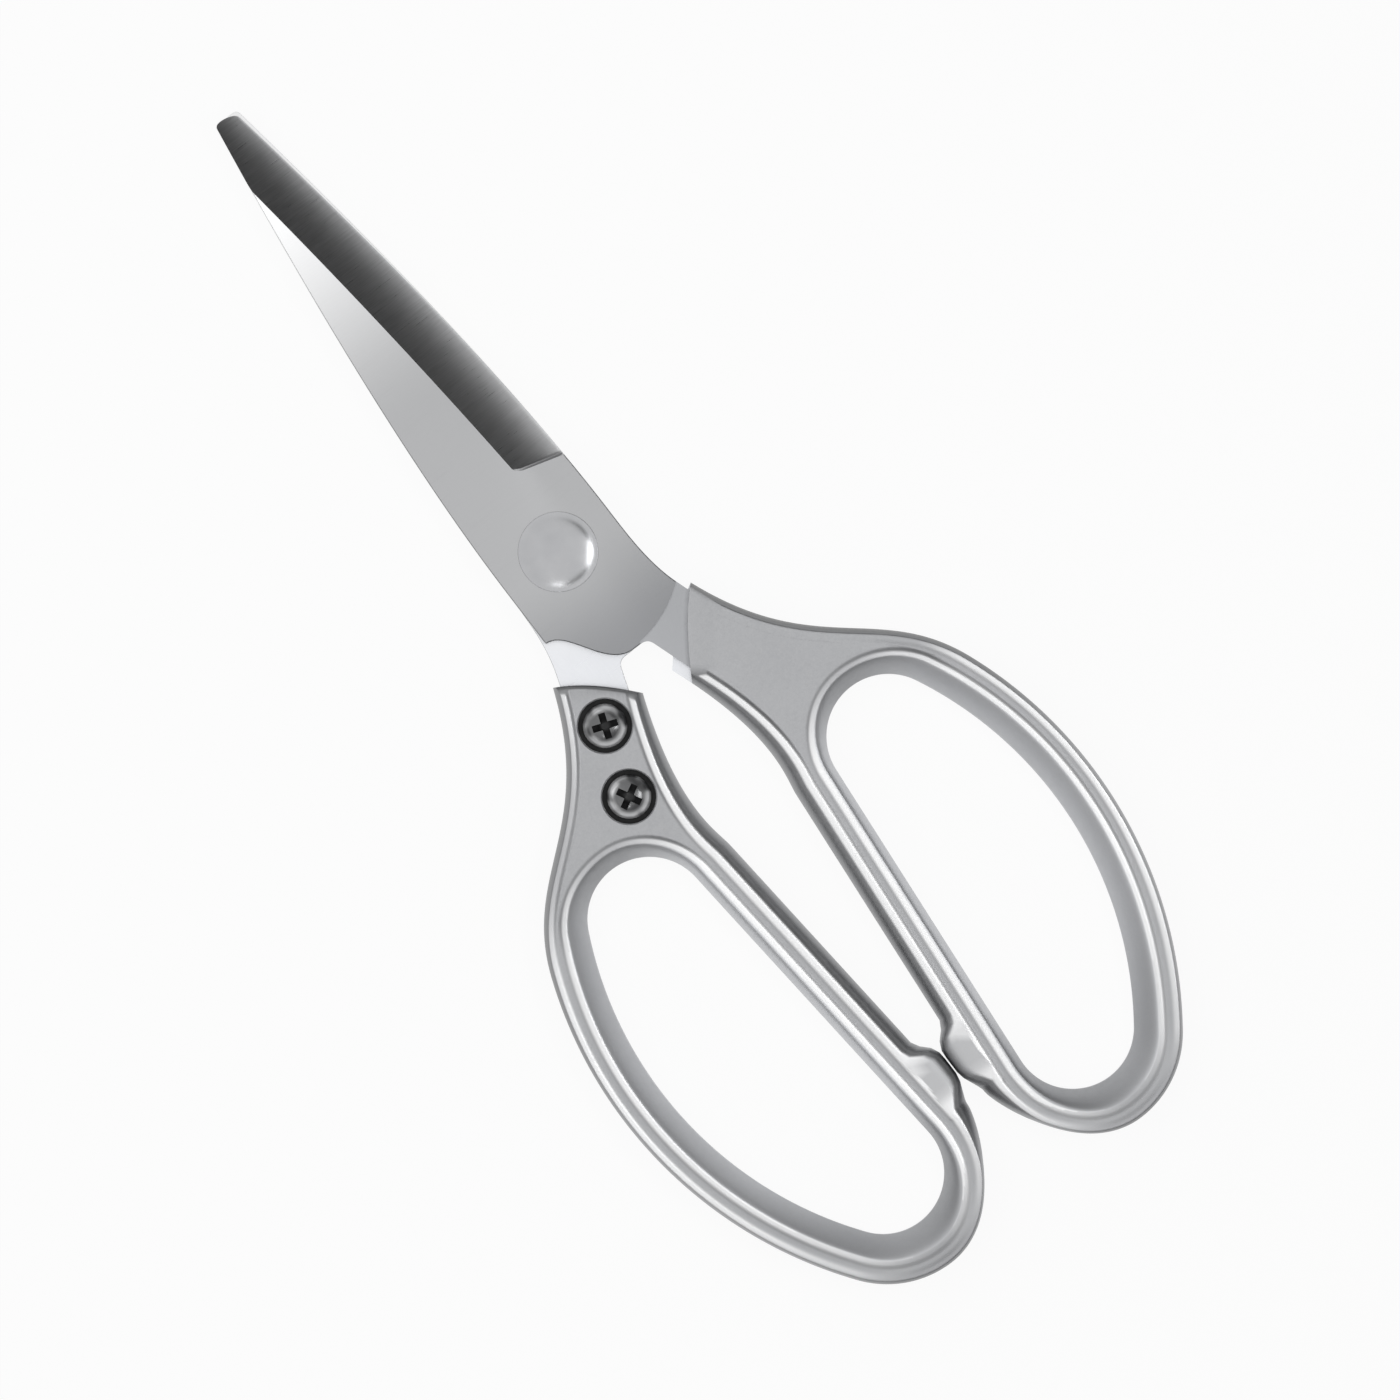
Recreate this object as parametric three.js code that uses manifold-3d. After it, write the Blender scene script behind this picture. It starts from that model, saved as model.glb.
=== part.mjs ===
// Kitchen shears, closed and lying on their back: two ground steel blades on one rivet, each with a
// tang that is screwed into a cast handle. Millimetres, +Z up. The pivot axis is x = y = 0, the tips
// point along +Y, and z = 0 is the plane that the rivet and the handles rest on.
// Both halves are the same pieces: the back half is the front half turned half a turn about Y.
import * as THREE from "three";
import { mergeVertices } from "three/addons/utils/BufferGeometryUtils.js";
import Module from "manifold-3d";

const wasm = await Module();
wasm.setup();
const degrees = Math.PI / 180;

// Blade outline
const BLADE_THICKNESS = 2.8;
const BLADE_GAP = 0.12; // between the two inner faces
const BLADE_LENGTH = 86; // pivot to tip
const BLADE_HALF_WIDTH = 10.3; // at the pivot
const BLADE_FULLNESS = 32; // how far up the sides aim before they bend in
const TIP_EDGE_WIDTH = 1.8; // middle of the tip to the cutting edge
const TIP_SPINE_WIDTH = 2.2; // middle of the tip to the spine
const TIP_SLANT = 0.8; // the tip ends this much lower at the cutting edge
const TIP_ROUND = 1.1;
const HEEL_CORNER_Y = -10.3; // where the spine ends
const HEEL_Y = -19.3; // lower end of the heel
const HEEL_ROUND = 1.2; // inside corner between heel and tang
const HEEL_FOOT_X = 0.2; // where the heel's curve meets its lower end
const HEEL_SPINE_REACH = 4.1; // how far the heel's curve runs straight on from the spine
const HEEL_FOOT_REACH = 5.4; // the same at its lower end

// Hollow grind on the outer face
const GRIND_START_X = 2.1; // grind line at its lower end
const GRIND_START_Y = 14.5;
const GRIND_END_X = -3.9; // where the grind line runs out over the spine
const GRIND_END_Y = 74.5;
const GRIND_BOW = 0.45; // bend of the grind line
const GRIND_DROP = 3.4; // the lower end slopes down this much to the cutting edge
const GRIND_CORNER = 0.7; // round of the lower end at the grind line
const GRIND_RUNOUT = 0.5; // length of the rounded lower end
const HOLLOW_DEPTH = 0.3; // how far the ground face is hollow
const EDGE_THICKNESS = 0.5; // steel left at the cutting edge

// Tang, on a line that leans out from the blade, with both screws on it
const TANG_LEAN = 18.7 * degrees;
const TANG_INNER = 5.3; // screw line to the edge that faces the other half
const TANG_OUTER = 4.7; // screw line to the other edge
const TANG_THICKNESS = 2.4;
const TANG_STEP_RADIUS = 19; // the step down to the tang is turned about the pivot
const TANG_STEP_LEFT = 1.5; // the step reaches to here beside the heel
const TANG_STEP_TOP = -8;
const TANG_END = 16.6; // upper screw to the end of the tang
const TANG_SHOULDER = 10; // upper screw to where the outer edge bends into the blade
const TANG_CORNER = 2;
const TANG_FIT = 0.15; // clearance of the tang in its slot

// Screws
const SCREW_X = 10.7; // upper screw
const SCREW_Y = -26.1;
const SCREW_SPACING = 11.7;
const SCREW_RADIUS = 2;
const SCREW_HEAD_RADIUS = 3.5;
const SCREW_HEAD_HEIGHT = 1.9;
const SCREW_HEAD_WALL = 0.7; // straight part of the head's side
const SCREW_FIT = 0.06; // round the shank in the tang
const SCREW_WALL_FIT = 0.25; // round the shank in the handle
const SCREW_SEAT_GAP = 0.04;
const SCREW_END_GAP = 0.3; // shank end short of the tang's outer face
const COUNTERBORE_RADIUS = 4.25;
const COUNTERBORE_DEPTH = 2.1;
const RECESS_LENGTH = 4.2; // cross recess of the head
const RECESS_WIDTH = 1.1;
const RECESS_DEPTH = 1.25;

// Handle section
const HANDLE_THICKNESS = 9.2; // over the beads
const BEAD_RISE = 0.3; // beads above the flat of the neck
const BEAD_FLANK = 1.2; // bead crest to the bottom of the groove
const GROOVE_FLAT = 0.3;
const RIM_WIDTH = 7.4;
const RIM_BOTTOM_WIDTH = 8.05;
const RIM_CORNER_THINNING = 1.4; // at most, round the lower corner beside the other handle
const RIM_LEAST_WALL = 0.6; // outer wall where the rim is thinnest
const RIM_EDGE_HEIGHT = 1.5; // upright edge round the finger opening
const SLOPE_STRAIGHT = 2; // opening to inner bead crest on the straight side
const SLOPE_ARC = 3.85; // the same on the long curved side
const SLOPE_TOP = 2.7;
const SLOPE_BOTTOM = 4.6;

// Finger opening: a straight side, a long arc and two rounded ends
const OPENING_Y = -77.15; // height of its widest place
const OPENING_NEAR_X = 11.8; // straight side at that height
const OPENING_FAR_X = 38.6; // arc at that height
const OPENING_ARC_RADIUS = 61.6;
const OPENING_TILT = 5 * degrees; // of the straight side
const OPENING_TOP_RADIUS = 9.75;
const OPENING_BOTTOM_RADIUS = 9.6;

// Neck of the handle and its end
const NECK_OUTER_X = 13.6; // outer corner of the end
const NECK_OUTER_Y = -16.4;
const NECK_INNER_X = 2.9; // inner corner of the end, on the screw side
const NECK_INNER_Y = -25.6;
const NECK_CUTBACK = 5.8; // the thin wall ends this much lower at the inner corner
const NECK_END_BOW = 1.4; // aim of the end's outward curve, from the line between its corners
const NECK_END_BOW_SHARE = 0.6; // where along that line, from the inner corner
const NECK_LEAN = 21 * degrees; // of both sides at the end
const NECK_BLEND = 5 * degrees; // the outer side leaves the bow this much before the arc ends
const NECK_OUTER_ROUND = 17; // reach of the bend from the bow into the outer side
const NECK_OUTER_SWEEP = 23.4; // reach of the hollow bend up to the outer corner
const NECK_INNER_ROUND = 3;
const NECK_INNER_SWEEP = 18.9;
const NECK_SPARE = 6; // length made past the end, then cut away
const NECK_SPARE_ROUND = 8; // reach of the curve that closes this length

// Stop nubs that meet when the shears close
const STOP_Y = -101.5;
const STOP_HALF_LENGTH = 1.9;
const STOP_FLANK = 4; // length of the hollow flank above
const STOP_LOW_FLANK = 9.5; // length of the straight flank below
const STOP_RISE = 2.2; // touching face to the rim beside it
const STOP_DEPTH = 4; // from the touching face into the rim
const STOP_THICKNESS = 7.4;
const STOP_EDGE = 0.6; // rounded edges of the nub
const STOP_GAP = 0.2;

// Rivet and its spring washer
const PIN_RADIUS = 3;
const PIN_CLEARANCE = 0.06;
const RIVET_FACE_GAP = 0.04;
const RIVET_HEAD_RADIUS = 6.3;
const RIVET_HEAD_HEIGHT = 1.1;
const RIVET_HEAD_EDGE = 0.2; // upright edge below the dome
const RIVET_FOOT_RADIUS = 4.8;
const RIVET_FOOT_EDGE = 0.3;
const WASHER_RADIUS = 5.7;
const WASHER_THICKNESS = 0.4;
const WASHER_DISH = 0.25;

// Cutting shapes
const CLEAR_PAST = 60; // reach past the part's surface
const CUT_OVERLAP = 0.1; // where one cut runs into another

// Levels from the middle plane between the blades
const inner_face = BLADE_GAP / 2;
const outer_face = inner_face + BLADE_THICKNESS;
const bead_level = HANDLE_THICKNESS / 2;
const panel_level = bead_level - BEAD_RISE;
const slot_floor = inner_face - TANG_FIT;
const tang_face = inner_face + TANG_THICKNESS;
const slot_roof = tang_face + TANG_FIT;

const vector = (x, y) => new THREE.Vector2(x, y);
const toward = (from, direction, length) => from.clone().addScaledVector(direction, length);
const smooth = THREE.MathUtils.smoothstep;
const mix = THREE.MathUtils.lerp;

// Closed triangles as a solid for joining and cutting.
function solid(geometry) {
  const bare = geometry.index ? geometry.toNonIndexed() : geometry.clone();
  bare.deleteAttribute("normal");
  bare.deleteAttribute("uv");
  const merged = mergeVertices(bare);
  const vertProperties = merged.attributes.position.array;
  const triVerts = new Uint32Array(merged.index.array);
  return new wasm.Manifold(new wasm.Mesh({ numProp: 3, vertProperties, triVerts }));
}

function geometryOf(body) {
  const { vertProperties, triVerts } = body.getMesh();
  const geometry = new THREE.BufferGeometry();
  geometry.setAttribute("position", new THREE.BufferAttribute(vertProperties, 3));
  geometry.setIndex(new THREE.BufferAttribute(triVerts, 1));
  geometry.computeVertexNormals();
  return geometry;
}

function slab(shape, bottom, top, settings = {}) {
  const plain = { depth: top - bottom, bevelEnabled: false, curveSegments: 12 };
  return new THREE.ExtrudeGeometry(shape, { ...plain, ...settings }).translate(0, 0, bottom);
}

function rod(x, y, radius, bottom, top, segments = 32) {
  const geometry = new THREE.CylinderGeometry(radius, radius, top - bottom, segments);
  return solid(geometry.rotateX(Math.PI / 2).translate(x, y, (bottom + top) / 2));
}

function turned(profile, segments) {
  return new THREE.LatheGeometry(profile, segments).rotateX(Math.PI / 2);
}

// A grid of points as a closed skin: rows run round a loop, and so do the points of each row.
function loopSkin(rows) {
  const across = rows[0].length;
  const index = [];
  rows.forEach((row, i) => {
    const next = (i + 1) % rows.length;
    row.forEach((point, j) => {
      const beside = (j + 1) % across;
      const corners = [i * across + j, next * across + j, next * across + beside, i * across + beside];
      index.push(corners[0], corners[1], corners[2], corners[0], corners[2], corners[3]);
    });
  });
  return new THREE.BufferGeometry().setFromPoints(rows.flat()).setIndex(index);
}

// The space between a grid of points and a flat level above it.
function fillAbove(rows, level) {
  const across = rows[0].length;
  const lid = rows.map((row) => row.map((point) => point.clone().setZ(level)));
  const count = rows.length * across;
  const index = [];
  const quad = (a, b, c, d) => index.push(a, b, c, a, c, d);
  for (let i = 0; i + 1 < rows.length; i++) {
    for (let j = 0; j + 1 < across; j++) {
      const a = i * across + j;
      quad(a, a + across, a + across + 1, a + 1);
      quad(count + a, count + a + 1, count + a + across + 1, count + a + across);
    }
    const left = i * across;
    const right = left + across - 1;
    quad(left, count + left, count + left + across, left + across);
    quad(right, right + across, count + right + across, count + right);
  }
  const last = count - across;
  for (let j = 0; j + 1 < across; j++) {
    quad(j, j + 1, count + j + 1, count + j);
    quad(last + j, count + last + j, count + last + j + 1, last + j + 1);
  }
  return new THREE.BufferGeometry().setFromPoints([...rows.flat(), ...lid.flat()]).setIndex(index);
}

// A place on the tang, from the upper screw: across towards the outer edge, and along to the end.
function onTang(across, along) {
  return vector(across, -along).rotateAround(vector(0, 0), TANG_LEAN).add(vector(SCREW_X, SCREW_Y));
}

// The tang's edge line across from the screw line, at a given y.
function tangEdge(across, y) {
  const start = onTang(across, 0);
  return onTang(across, (start.y - y) / Math.cos(TANG_LEAN));
}

function bladeShape() {
  const edge_end = BLADE_LENGTH - TIP_SLANT;
  const crotch = tangEdge(-TANG_INNER, HEEL_Y);
  const below_crotch = tangEdge(-TANG_INNER, HEEL_Y - HEEL_ROUND);
  const shoulder = onTang(TANG_OUTER, -TANG_SHOULDER);
  const waist = tangEdge(TANG_OUTER, HEEL_CORNER_Y);
  const corner = (across, along) => onTang(across, along).toArray();
  const shape = new THREE.Shape();
  shape.moveTo(-BLADE_HALF_WIDTH, HEEL_CORNER_Y);
  const spine_reach = HEEL_SPINE_REACH - BLADE_HALF_WIDTH;
  const foot_reach = HEEL_FOOT_X - HEEL_FOOT_REACH;
  shape.bezierCurveTo(spine_reach, HEEL_CORNER_Y, foot_reach, HEEL_Y, HEEL_FOOT_X, HEEL_Y);
  shape.lineTo(crotch.x - HEEL_ROUND, HEEL_Y);
  shape.quadraticCurveTo(crotch.x, HEEL_Y, below_crotch.x, below_crotch.y);
  shape.lineTo(...corner(-TANG_INNER, TANG_END - TANG_CORNER));
  shape.quadraticCurveTo(...corner(-TANG_INNER, TANG_END), ...corner(TANG_CORNER - TANG_INNER, TANG_END));
  shape.lineTo(...corner(TANG_OUTER - TANG_CORNER, TANG_END));
  shape.quadraticCurveTo(...corner(TANG_OUTER, TANG_END), ...corner(TANG_OUTER, TANG_END - TANG_CORNER));
  shape.lineTo(shoulder.x, shoulder.y);
  shape.bezierCurveTo(waist.x, waist.y, BLADE_HALF_WIDTH, HEEL_CORNER_Y / 2, BLADE_HALF_WIDTH, 0);
  shape.quadraticCurveTo(BLADE_HALF_WIDTH, BLADE_FULLNESS, TIP_EDGE_WIDTH, edge_end - TIP_ROUND);
  shape.quadraticCurveTo(TIP_EDGE_WIDTH, edge_end, 0, mix(edge_end, BLADE_LENGTH, 0.5));
  shape.quadraticCurveTo(-TIP_SPINE_WIDTH, BLADE_LENGTH, -TIP_SPINE_WIDTH, BLADE_LENGTH - TIP_ROUND);
  shape.quadraticCurveTo(-BLADE_HALF_WIDTH, BLADE_FULLNESS, -BLADE_HALF_WIDTH, 0);
  shape.closePath();
  return shape;
}

// Half the blade's width at a height above the pivot, on the curve of its sides.
function halfWidth(y) {
  const end = BLADE_LENGTH - TIP_SLANT - TIP_ROUND;
  const root = Math.sqrt(BLADE_FULLNESS ** 2 + (end - 2 * BLADE_FULLNESS) * y);
  const t = y / (BLADE_FULLNESS + root);
  return BLADE_HALF_WIDTH - (BLADE_HALF_WIDTH - TIP_EDGE_WIDTH) * t * t;
}

// What the grinding wheel takes off the outer face: shallow at the grind line, deep at the cutting
// edge, hollow between them, and rounded out at its lower end.
function grindCut() {
  const overrun = 1.5;
  const lift = 0.03;
  const steps = [0, 0.06, 0.15, 0.3, 0.45, 0.6, 0.75, 0.9, 1];
  const row_count = 22;
  const rows = [];
  for (let i = 0; i <= row_count + 3; i++) {
    rows.push(
      steps.map((step) => {
        const round = GRIND_CORNER * (1 - Math.min(step / 0.15, 1)) ** 2;
        const low = GRIND_START_Y - GRIND_CORNER + round - (GRIND_DROP - GRIND_CORNER) * step;
        const high = mix(low + GRIND_RUNOUT, BLADE_LENGTH + 1, Math.max(i - 3, 0) / row_count);
        const y = i < 3 ? low + (GRIND_RUNOUT * i) / 3 : high;
        const t = (y - GRIND_START_Y) / (GRIND_END_Y - GRIND_START_Y);
        const line = mix(GRIND_START_X, GRIND_END_X, t) + GRIND_BOW * 4 * t * (1 - t);
        const edge = halfWidth(Math.min(y, BLADE_LENGTH));
        const x = mix(line, edge + overrun, step);
        const share = Math.min((x - line) / (edge - line), 1);
        const hollow = HOLLOW_DEPTH * 4 * share * (1 - share);
        const runout = Math.sin((Math.PI / 2) * Math.min(i / 3, 1));
        const depth = ((BLADE_THICKNESS - EDGE_THICKNESS) * share + hollow) * runout;
        return new THREE.Vector3(x, y, outer_face + lift - depth);
      }),
    );
  }
  return fillAbove(rows, outer_face + 2);
}

function screwPlace(number) {
  return onTang(0, number * SCREW_SPACING);
}

function bladeBody() {
  let body = solid(slab(bladeShape(), inner_face, outer_face));
  body = body.subtract(solid(grindCut()));
  body = body.subtract(rod(0, 0, PIN_RADIUS + PIN_CLEARANCE, -CLEAR_PAST, CLEAR_PAST, 48));
  const beside_heel = new THREE.Shape([
    vector(TANG_STEP_LEFT, -CLEAR_PAST),
    vector(CLEAR_PAST, -CLEAR_PAST),
    vector(CLEAR_PAST, TANG_STEP_TOP),
    vector(TANG_STEP_LEFT, TANG_STEP_TOP),
  ]);
  const above_tang = solid(slab(beside_heel, tang_face, CLEAR_PAST));
  const step = rod(0, 0, TANG_STEP_RADIUS, 0, 2 * CLEAR_PAST, 96);
  body = body.subtract(above_tang.subtract(step));
  for (const number of [0, 1]) {
    const { x, y } = screwPlace(number);
    body = body.subtract(rod(x, y, SCREW_RADIUS + SCREW_FIT, -CLEAR_PAST, CLEAR_PAST));
  }
  return body;
}

// The finger opening's outline and the handle's outer outline, as matching rows of points that run
// the same way round.
function handleRails() {
  const up = vector(Math.sin(OPENING_TILT), Math.cos(OPENING_TILT));
  const inward = vector(up.y, -up.x);
  const side = vector(OPENING_NEAR_X, OPENING_Y);
  const centre = vector(OPENING_FAR_X - OPENING_ARC_RADIUS, OPENING_Y);
  // Centre of the rounded end that touches both the straight side and the arc.
  const roundEnd = (radius, sign) => {
    const offset = toward(side, inward, radius).sub(centre);
    const along = offset.dot(up);
    const reach = along ** 2 - offset.lengthSq() + (OPENING_ARC_RADIUS - radius) ** 2;
    return toward(centre.clone().add(offset), up, sign * Math.sqrt(reach) - along);
  };
  const top = roundEnd(OPENING_TOP_RADIUS, 1);
  const bottom = roundEnd(OPENING_BOTTOM_RADIUS, -1);
  const straight_angle = inward.clone().negate().angle();
  const low_angle = bottom.clone().sub(centre).angle() - 2 * Math.PI;
  const high_angle = top.clone().sub(centre).angle();
  const neck_angle = high_angle - NECK_BLEND;
  const side_top = toward(top, inward, -OPENING_TOP_RADIUS);
  const side_bottom = toward(bottom, inward, -OPENING_BOTTOM_RADIUS);
  const arc = (middle, radius, from, to) =>
    new THREE.EllipseCurve(middle.x, middle.y, radius, radius, from, to, false, 0);

  const bow_pieces = [
    [new THREE.LineCurve(side_top, side_bottom), 4],
    [arc(bottom, OPENING_BOTTOM_RADIUS, straight_angle, low_angle + 2 * Math.PI), 16],
    [arc(centre, OPENING_ARC_RADIUS, low_angle, neck_angle), 16],
  ];
  const inner_bow = bow_pieces.flatMap(([piece, count]) => piece.getSpacedPoints(count).slice(0, -1));
  const neck_rail = new THREE.CurvePath();
  neck_rail.add(arc(centre, OPENING_ARC_RADIUS, neck_angle, high_angle));
  neck_rail.add(arc(top, OPENING_TOP_RADIUS, high_angle, straight_angle));
  const neck_count = 38;
  const inner_neck = neck_rail.getSpacedPoints(neck_count).slice(0, -1);
  const inner = [...inner_bow, ...inner_neck];
  const inner_normals = leftNormals(inner);

  const rimWidth = (normal) => {
    const low = Math.max(normal.y, 0);
    const corner = (Math.max(normal.x, 0) ** 2 * low * Math.sqrt(27)) / 2;
    return mix(RIM_WIDTH, RIM_BOTTOM_WIDTH, low ** 2) - RIM_CORNER_THINNING * corner;
  };
  const outer_bow = inner_bow.map((point, i) => toward(point, inner_normals[i], -rimWidth(inner_normals[i])));

  const lean = vector(-Math.sin(NECK_LEAN), Math.cos(NECK_LEAN));
  const bow_out = vector(Math.cos(neck_angle), Math.sin(neck_angle));
  const bow_on = vector(-bow_out.y, bow_out.x);
  const outer_start = toward(centre, bow_out, OPENING_ARC_RADIUS + RIM_WIDTH);
  const outer_corner = vector(NECK_OUTER_X, NECK_OUTER_Y);
  const inner_corner = vector(NECK_INNER_X, NECK_INNER_Y);
  const inner_end = toward(side_top, inward, -RIM_WIDTH);
  const outer_spare = toward(outer_corner, lean, NECK_SPARE);
  const inner_spare = toward(inner_corner, lean, NECK_SPARE);
  const bend = (a, b, c, d) => new THREE.CubicBezierCurve(a, b, c, d);
  const outer_rail = new THREE.CurvePath();
  outer_rail.add(
    bend(
      outer_start,
      toward(outer_start, bow_on, NECK_OUTER_ROUND),
      toward(outer_corner, lean, -NECK_OUTER_SWEEP),
      outer_corner,
    ),
  );
  outer_rail.add(new THREE.LineCurve(outer_corner, outer_spare));
  outer_rail.add(
    bend(
      outer_spare,
      toward(outer_spare, lean, NECK_SPARE_ROUND),
      toward(inner_spare, lean, NECK_SPARE_ROUND),
      inner_spare,
    ),
  );
  outer_rail.add(new THREE.LineCurve(inner_spare, inner_corner));
  outer_rail.add(
    bend(
      inner_corner,
      toward(inner_corner, lean, -NECK_INNER_SWEEP),
      toward(inner_end, up, NECK_INNER_ROUND),
      inner_end,
    ),
  );
  const outer_neck = outer_rail.getSpacedPoints(neck_count).slice(0, -1);
  const outer = [...outer_bow, ...outer_neck];
  return { inner, inner_normals, outer, bow_count: inner_bow.length, neck_count };
}

// Unit normals to the left of a closed row of points.
function leftNormals(points) {
  return points.map((point, i) => {
    const before = points[(i + points.length - 1) % points.length];
    const after = points[(i + 1) % points.length];
    return vector(before.y - after.y, after.x - before.x).normalize();
  });
}

// Neck and finger bow: a rounded outer wall up to a bead, a shallow groove that widens into the flat
// of the neck, a second bead, and a slope down to the opening. Front and back are alike.
function handleSkin() {
  const { inner, inner_normals, outer, bow_count, neck_count } = handleRails();
  const outer_normals = leftNormals(outer);
  const slopeWidth = ({ x, y }) =>
    x * x * (x > 0 ? SLOPE_STRAIGHT : SLOPE_ARC) + y * y * (y > 0 ? SLOPE_BOTTOM : SLOPE_TOP);
  const beadsWidth = (i) => slopeWidth(inner_normals[i]) + 2 * BEAD_FLANK + GROOVE_FLAT;
  const spareWidth = (i) => inner[i].distanceTo(outer[i]) - RIM_LEAST_WALL;
  const squeezeAt = (i) => Math.min(1, spareWidth(i) / beadsWidth(i));
  const wallAt = (i) => spareWidth(i) + RIM_LEAST_WALL - squeezeAt(i) * beadsWidth(i);
  const neck_wall = [wallAt(bow_count - 1), wallAt(0)];
  const rows = inner.map((point, i) => {
    const slope = squeezeAt(i) * slopeWidth(inner_normals[i]);
    const flank = squeezeAt(i) * BEAD_FLANK;
    const share = Math.max(i - bow_count, 0) / neck_count;
    const wall = i < bow_count ? wallAt(i) : mix(...neck_wall, smooth(share, 0.55, 1));
    const outer_bead = mix(panel_level, bead_level, 1 - smooth(share, 0, 0.1) + smooth(share, 0.45, 0.6));
    const outerAt = (inset, z) => [toward(outer[i], outer_normals[i], inset), z];
    const innerAt = (inset, z) => [toward(point, inner_normals[i], -inset), z];
    const upper = [];
    for (const angle of [25, 50, 72, 90]) {
      const turn = angle * degrees;
      upper.push(outerAt(wall * (1 - Math.cos(turn)), outer_bead * Math.sin(turn)));
    }
    upper.push(outerAt(wall + flank, panel_level));
    upper.push(innerAt(slope + flank, panel_level));
    upper.push(innerAt(slope, bead_level));
    upper.push(innerAt(slope * 0.8, mix(RIM_EDGE_HEIGHT / 2, bead_level, 0.9)));
    upper.push(innerAt(slope * 0.4, mix(RIM_EDGE_HEIGHT / 2, bead_level, 0.52)));
    upper.push(innerAt(0, RIM_EDGE_HEIGHT / 2));
    const lower = upper.map(([place, z]) => [place, -z]).reverse();
    return [outerAt(0, 0), ...upper, ...lower].map(([place, z]) => new THREE.Vector3(place.x, place.y, z));
  });
  return loopSkin(rows);
}

// Everything past the bowed end of the neck, between its two corners.
function pastEnd(inner_y) {
  const outer_corner = vector(NECK_OUTER_X, NECK_OUTER_Y);
  const inner_corner = vector(NECK_INNER_X, inner_y);
  const line = outer_corner.clone().sub(inner_corner).normalize();
  const out = vector(-line.y, line.x);
  const along = NECK_END_BOW_SHARE * outer_corner.distanceTo(inner_corner);
  const aim = toward(toward(inner_corner, line, along), out, NECK_END_BOW);
  const right = toward(outer_corner, line, CLEAR_PAST);
  const left = toward(inner_corner, line, -CLEAR_PAST);
  const far_right = toward(right, out, CLEAR_PAST);
  const far_left = toward(left, out, CLEAR_PAST);
  const shape = new THREE.Shape([left, inner_corner]);
  shape.quadraticCurveTo(aim.x, aim.y, outer_corner.x, outer_corner.y);
  for (const { x, y } of [right, far_right, far_left]) {
    shape.lineTo(x, y);
  }
  return shape;
}

function slotShape() {
  const end = TANG_END + TANG_FIT;
  const near = -TANG_INNER - TANG_FIT;
  const far = TANG_OUTER + TANG_FIT;
  const corner = (across, along) => onTang(across, along).toArray();
  const shape = new THREE.Shape();
  shape.moveTo(...corner(near, -CLEAR_PAST));
  shape.lineTo(...corner(near, end - TANG_CORNER));
  shape.quadraticCurveTo(...corner(near, end), ...corner(near + TANG_CORNER, end));
  shape.lineTo(...corner(far - TANG_CORNER, end));
  shape.quadraticCurveTo(...corner(far, end), ...corner(far, end - TANG_CORNER));
  shape.lineTo(...corner(far, -CLEAR_PAST));
  return shape;
}

function stopNub() {
  const face = STOP_GAP / 2;
  const root = face + STOP_DEPTH;
  const top = STOP_Y + STOP_HALF_LENGTH;
  const low = STOP_Y - STOP_HALF_LENGTH;
  const shape = new THREE.Shape();
  shape.moveTo(root, top + STOP_FLANK);
  shape.quadraticCurveTo(face + STOP_RISE, top, face, top);
  shape.lineTo(face, low);
  shape.lineTo(root, low - STOP_LOW_FLANK);
  const edge = { bevelEnabled: true, bevelSize: STOP_EDGE, bevelOffset: -STOP_EDGE };
  const settings = { ...edge, bevelThickness: STOP_EDGE, bevelSegments: 3, curveSegments: 5 };
  const half = STOP_THICKNESS / 2 - STOP_EDGE;
  return slab(shape, -half, half, settings);
}

// The casting: neck and bow, cut off at the neck's end, slotted for the tang and bored for the screws
// from its thick side. The thin wall over the tang ends further back than the thick one.
function handleBody() {
  let body = solid(handleSkin());
  body = body.add(solid(stopNub()));
  body = body.subtract(solid(slab(pastEnd(NECK_INNER_Y), -CLEAR_PAST, CLEAR_PAST)));
  body = body.subtract(solid(slab(pastEnd(NECK_INNER_Y - NECK_CUTBACK), slot_floor, CLEAR_PAST)));
  body = body.subtract(solid(slab(slotShape(), slot_floor, slot_roof)));
  for (const number of [0, 1]) {
    const { x, y } = screwPlace(number);
    const seat = COUNTERBORE_DEPTH - panel_level;
    body = body.subtract(rod(x, y, COUNTERBORE_RADIUS, -CLEAR_PAST, seat));
    body = body.subtract(rod(x, y, SCREW_RADIUS + SCREW_WALL_FIT, -CLEAR_PAST, slot_floor + CUT_OVERLAP));
  }
  return body;
}

// Pan head screw with a cross recess, standing on z = 0 with its head up and its shank down.
function screwBody(shank) {
  const crown = SCREW_HEAD_HEIGHT - SCREW_HEAD_WALL;
  const tip = 0.4;
  const profile = [vector(0, -shank), vector(SCREW_RADIUS - tip, -shank), vector(SCREW_RADIUS, tip - shank)];
  profile.push(vector(SCREW_RADIUS, 0), vector(SCREW_HEAD_RADIUS, 0));
  for (let i = 0; i <= 4; i++) {
    const turn = (i / 4) * 70 * degrees;
    const rise = (crown * Math.sin(turn)) / Math.sin(70 * degrees);
    profile.push(vector(SCREW_HEAD_RADIUS * Math.cos(turn), SCREW_HEAD_WALL + rise));
  }
  profile.push(vector(0, SCREW_HEAD_HEIGHT));
  let body = solid(turned(profile, 28));
  for (const turn of [0, 90]) {
    const wing = new THREE.CylinderGeometry(Math.SQRT1_2, Math.SQRT1_2 * 0.45, RECESS_DEPTH + 0.5, 4);
    wing.rotateY(45 * degrees).rotateX(Math.PI / 2);
    wing.scale(RECESS_LENGTH, RECESS_WIDTH, 1);
    wing.translate(0, 0, SCREW_HEAD_HEIGHT - RECESS_DEPTH / 2 + 0.25);
    body = body.subtract(solid(wing.rotateZ(turn * degrees)));
  }
  return body;
}

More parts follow.
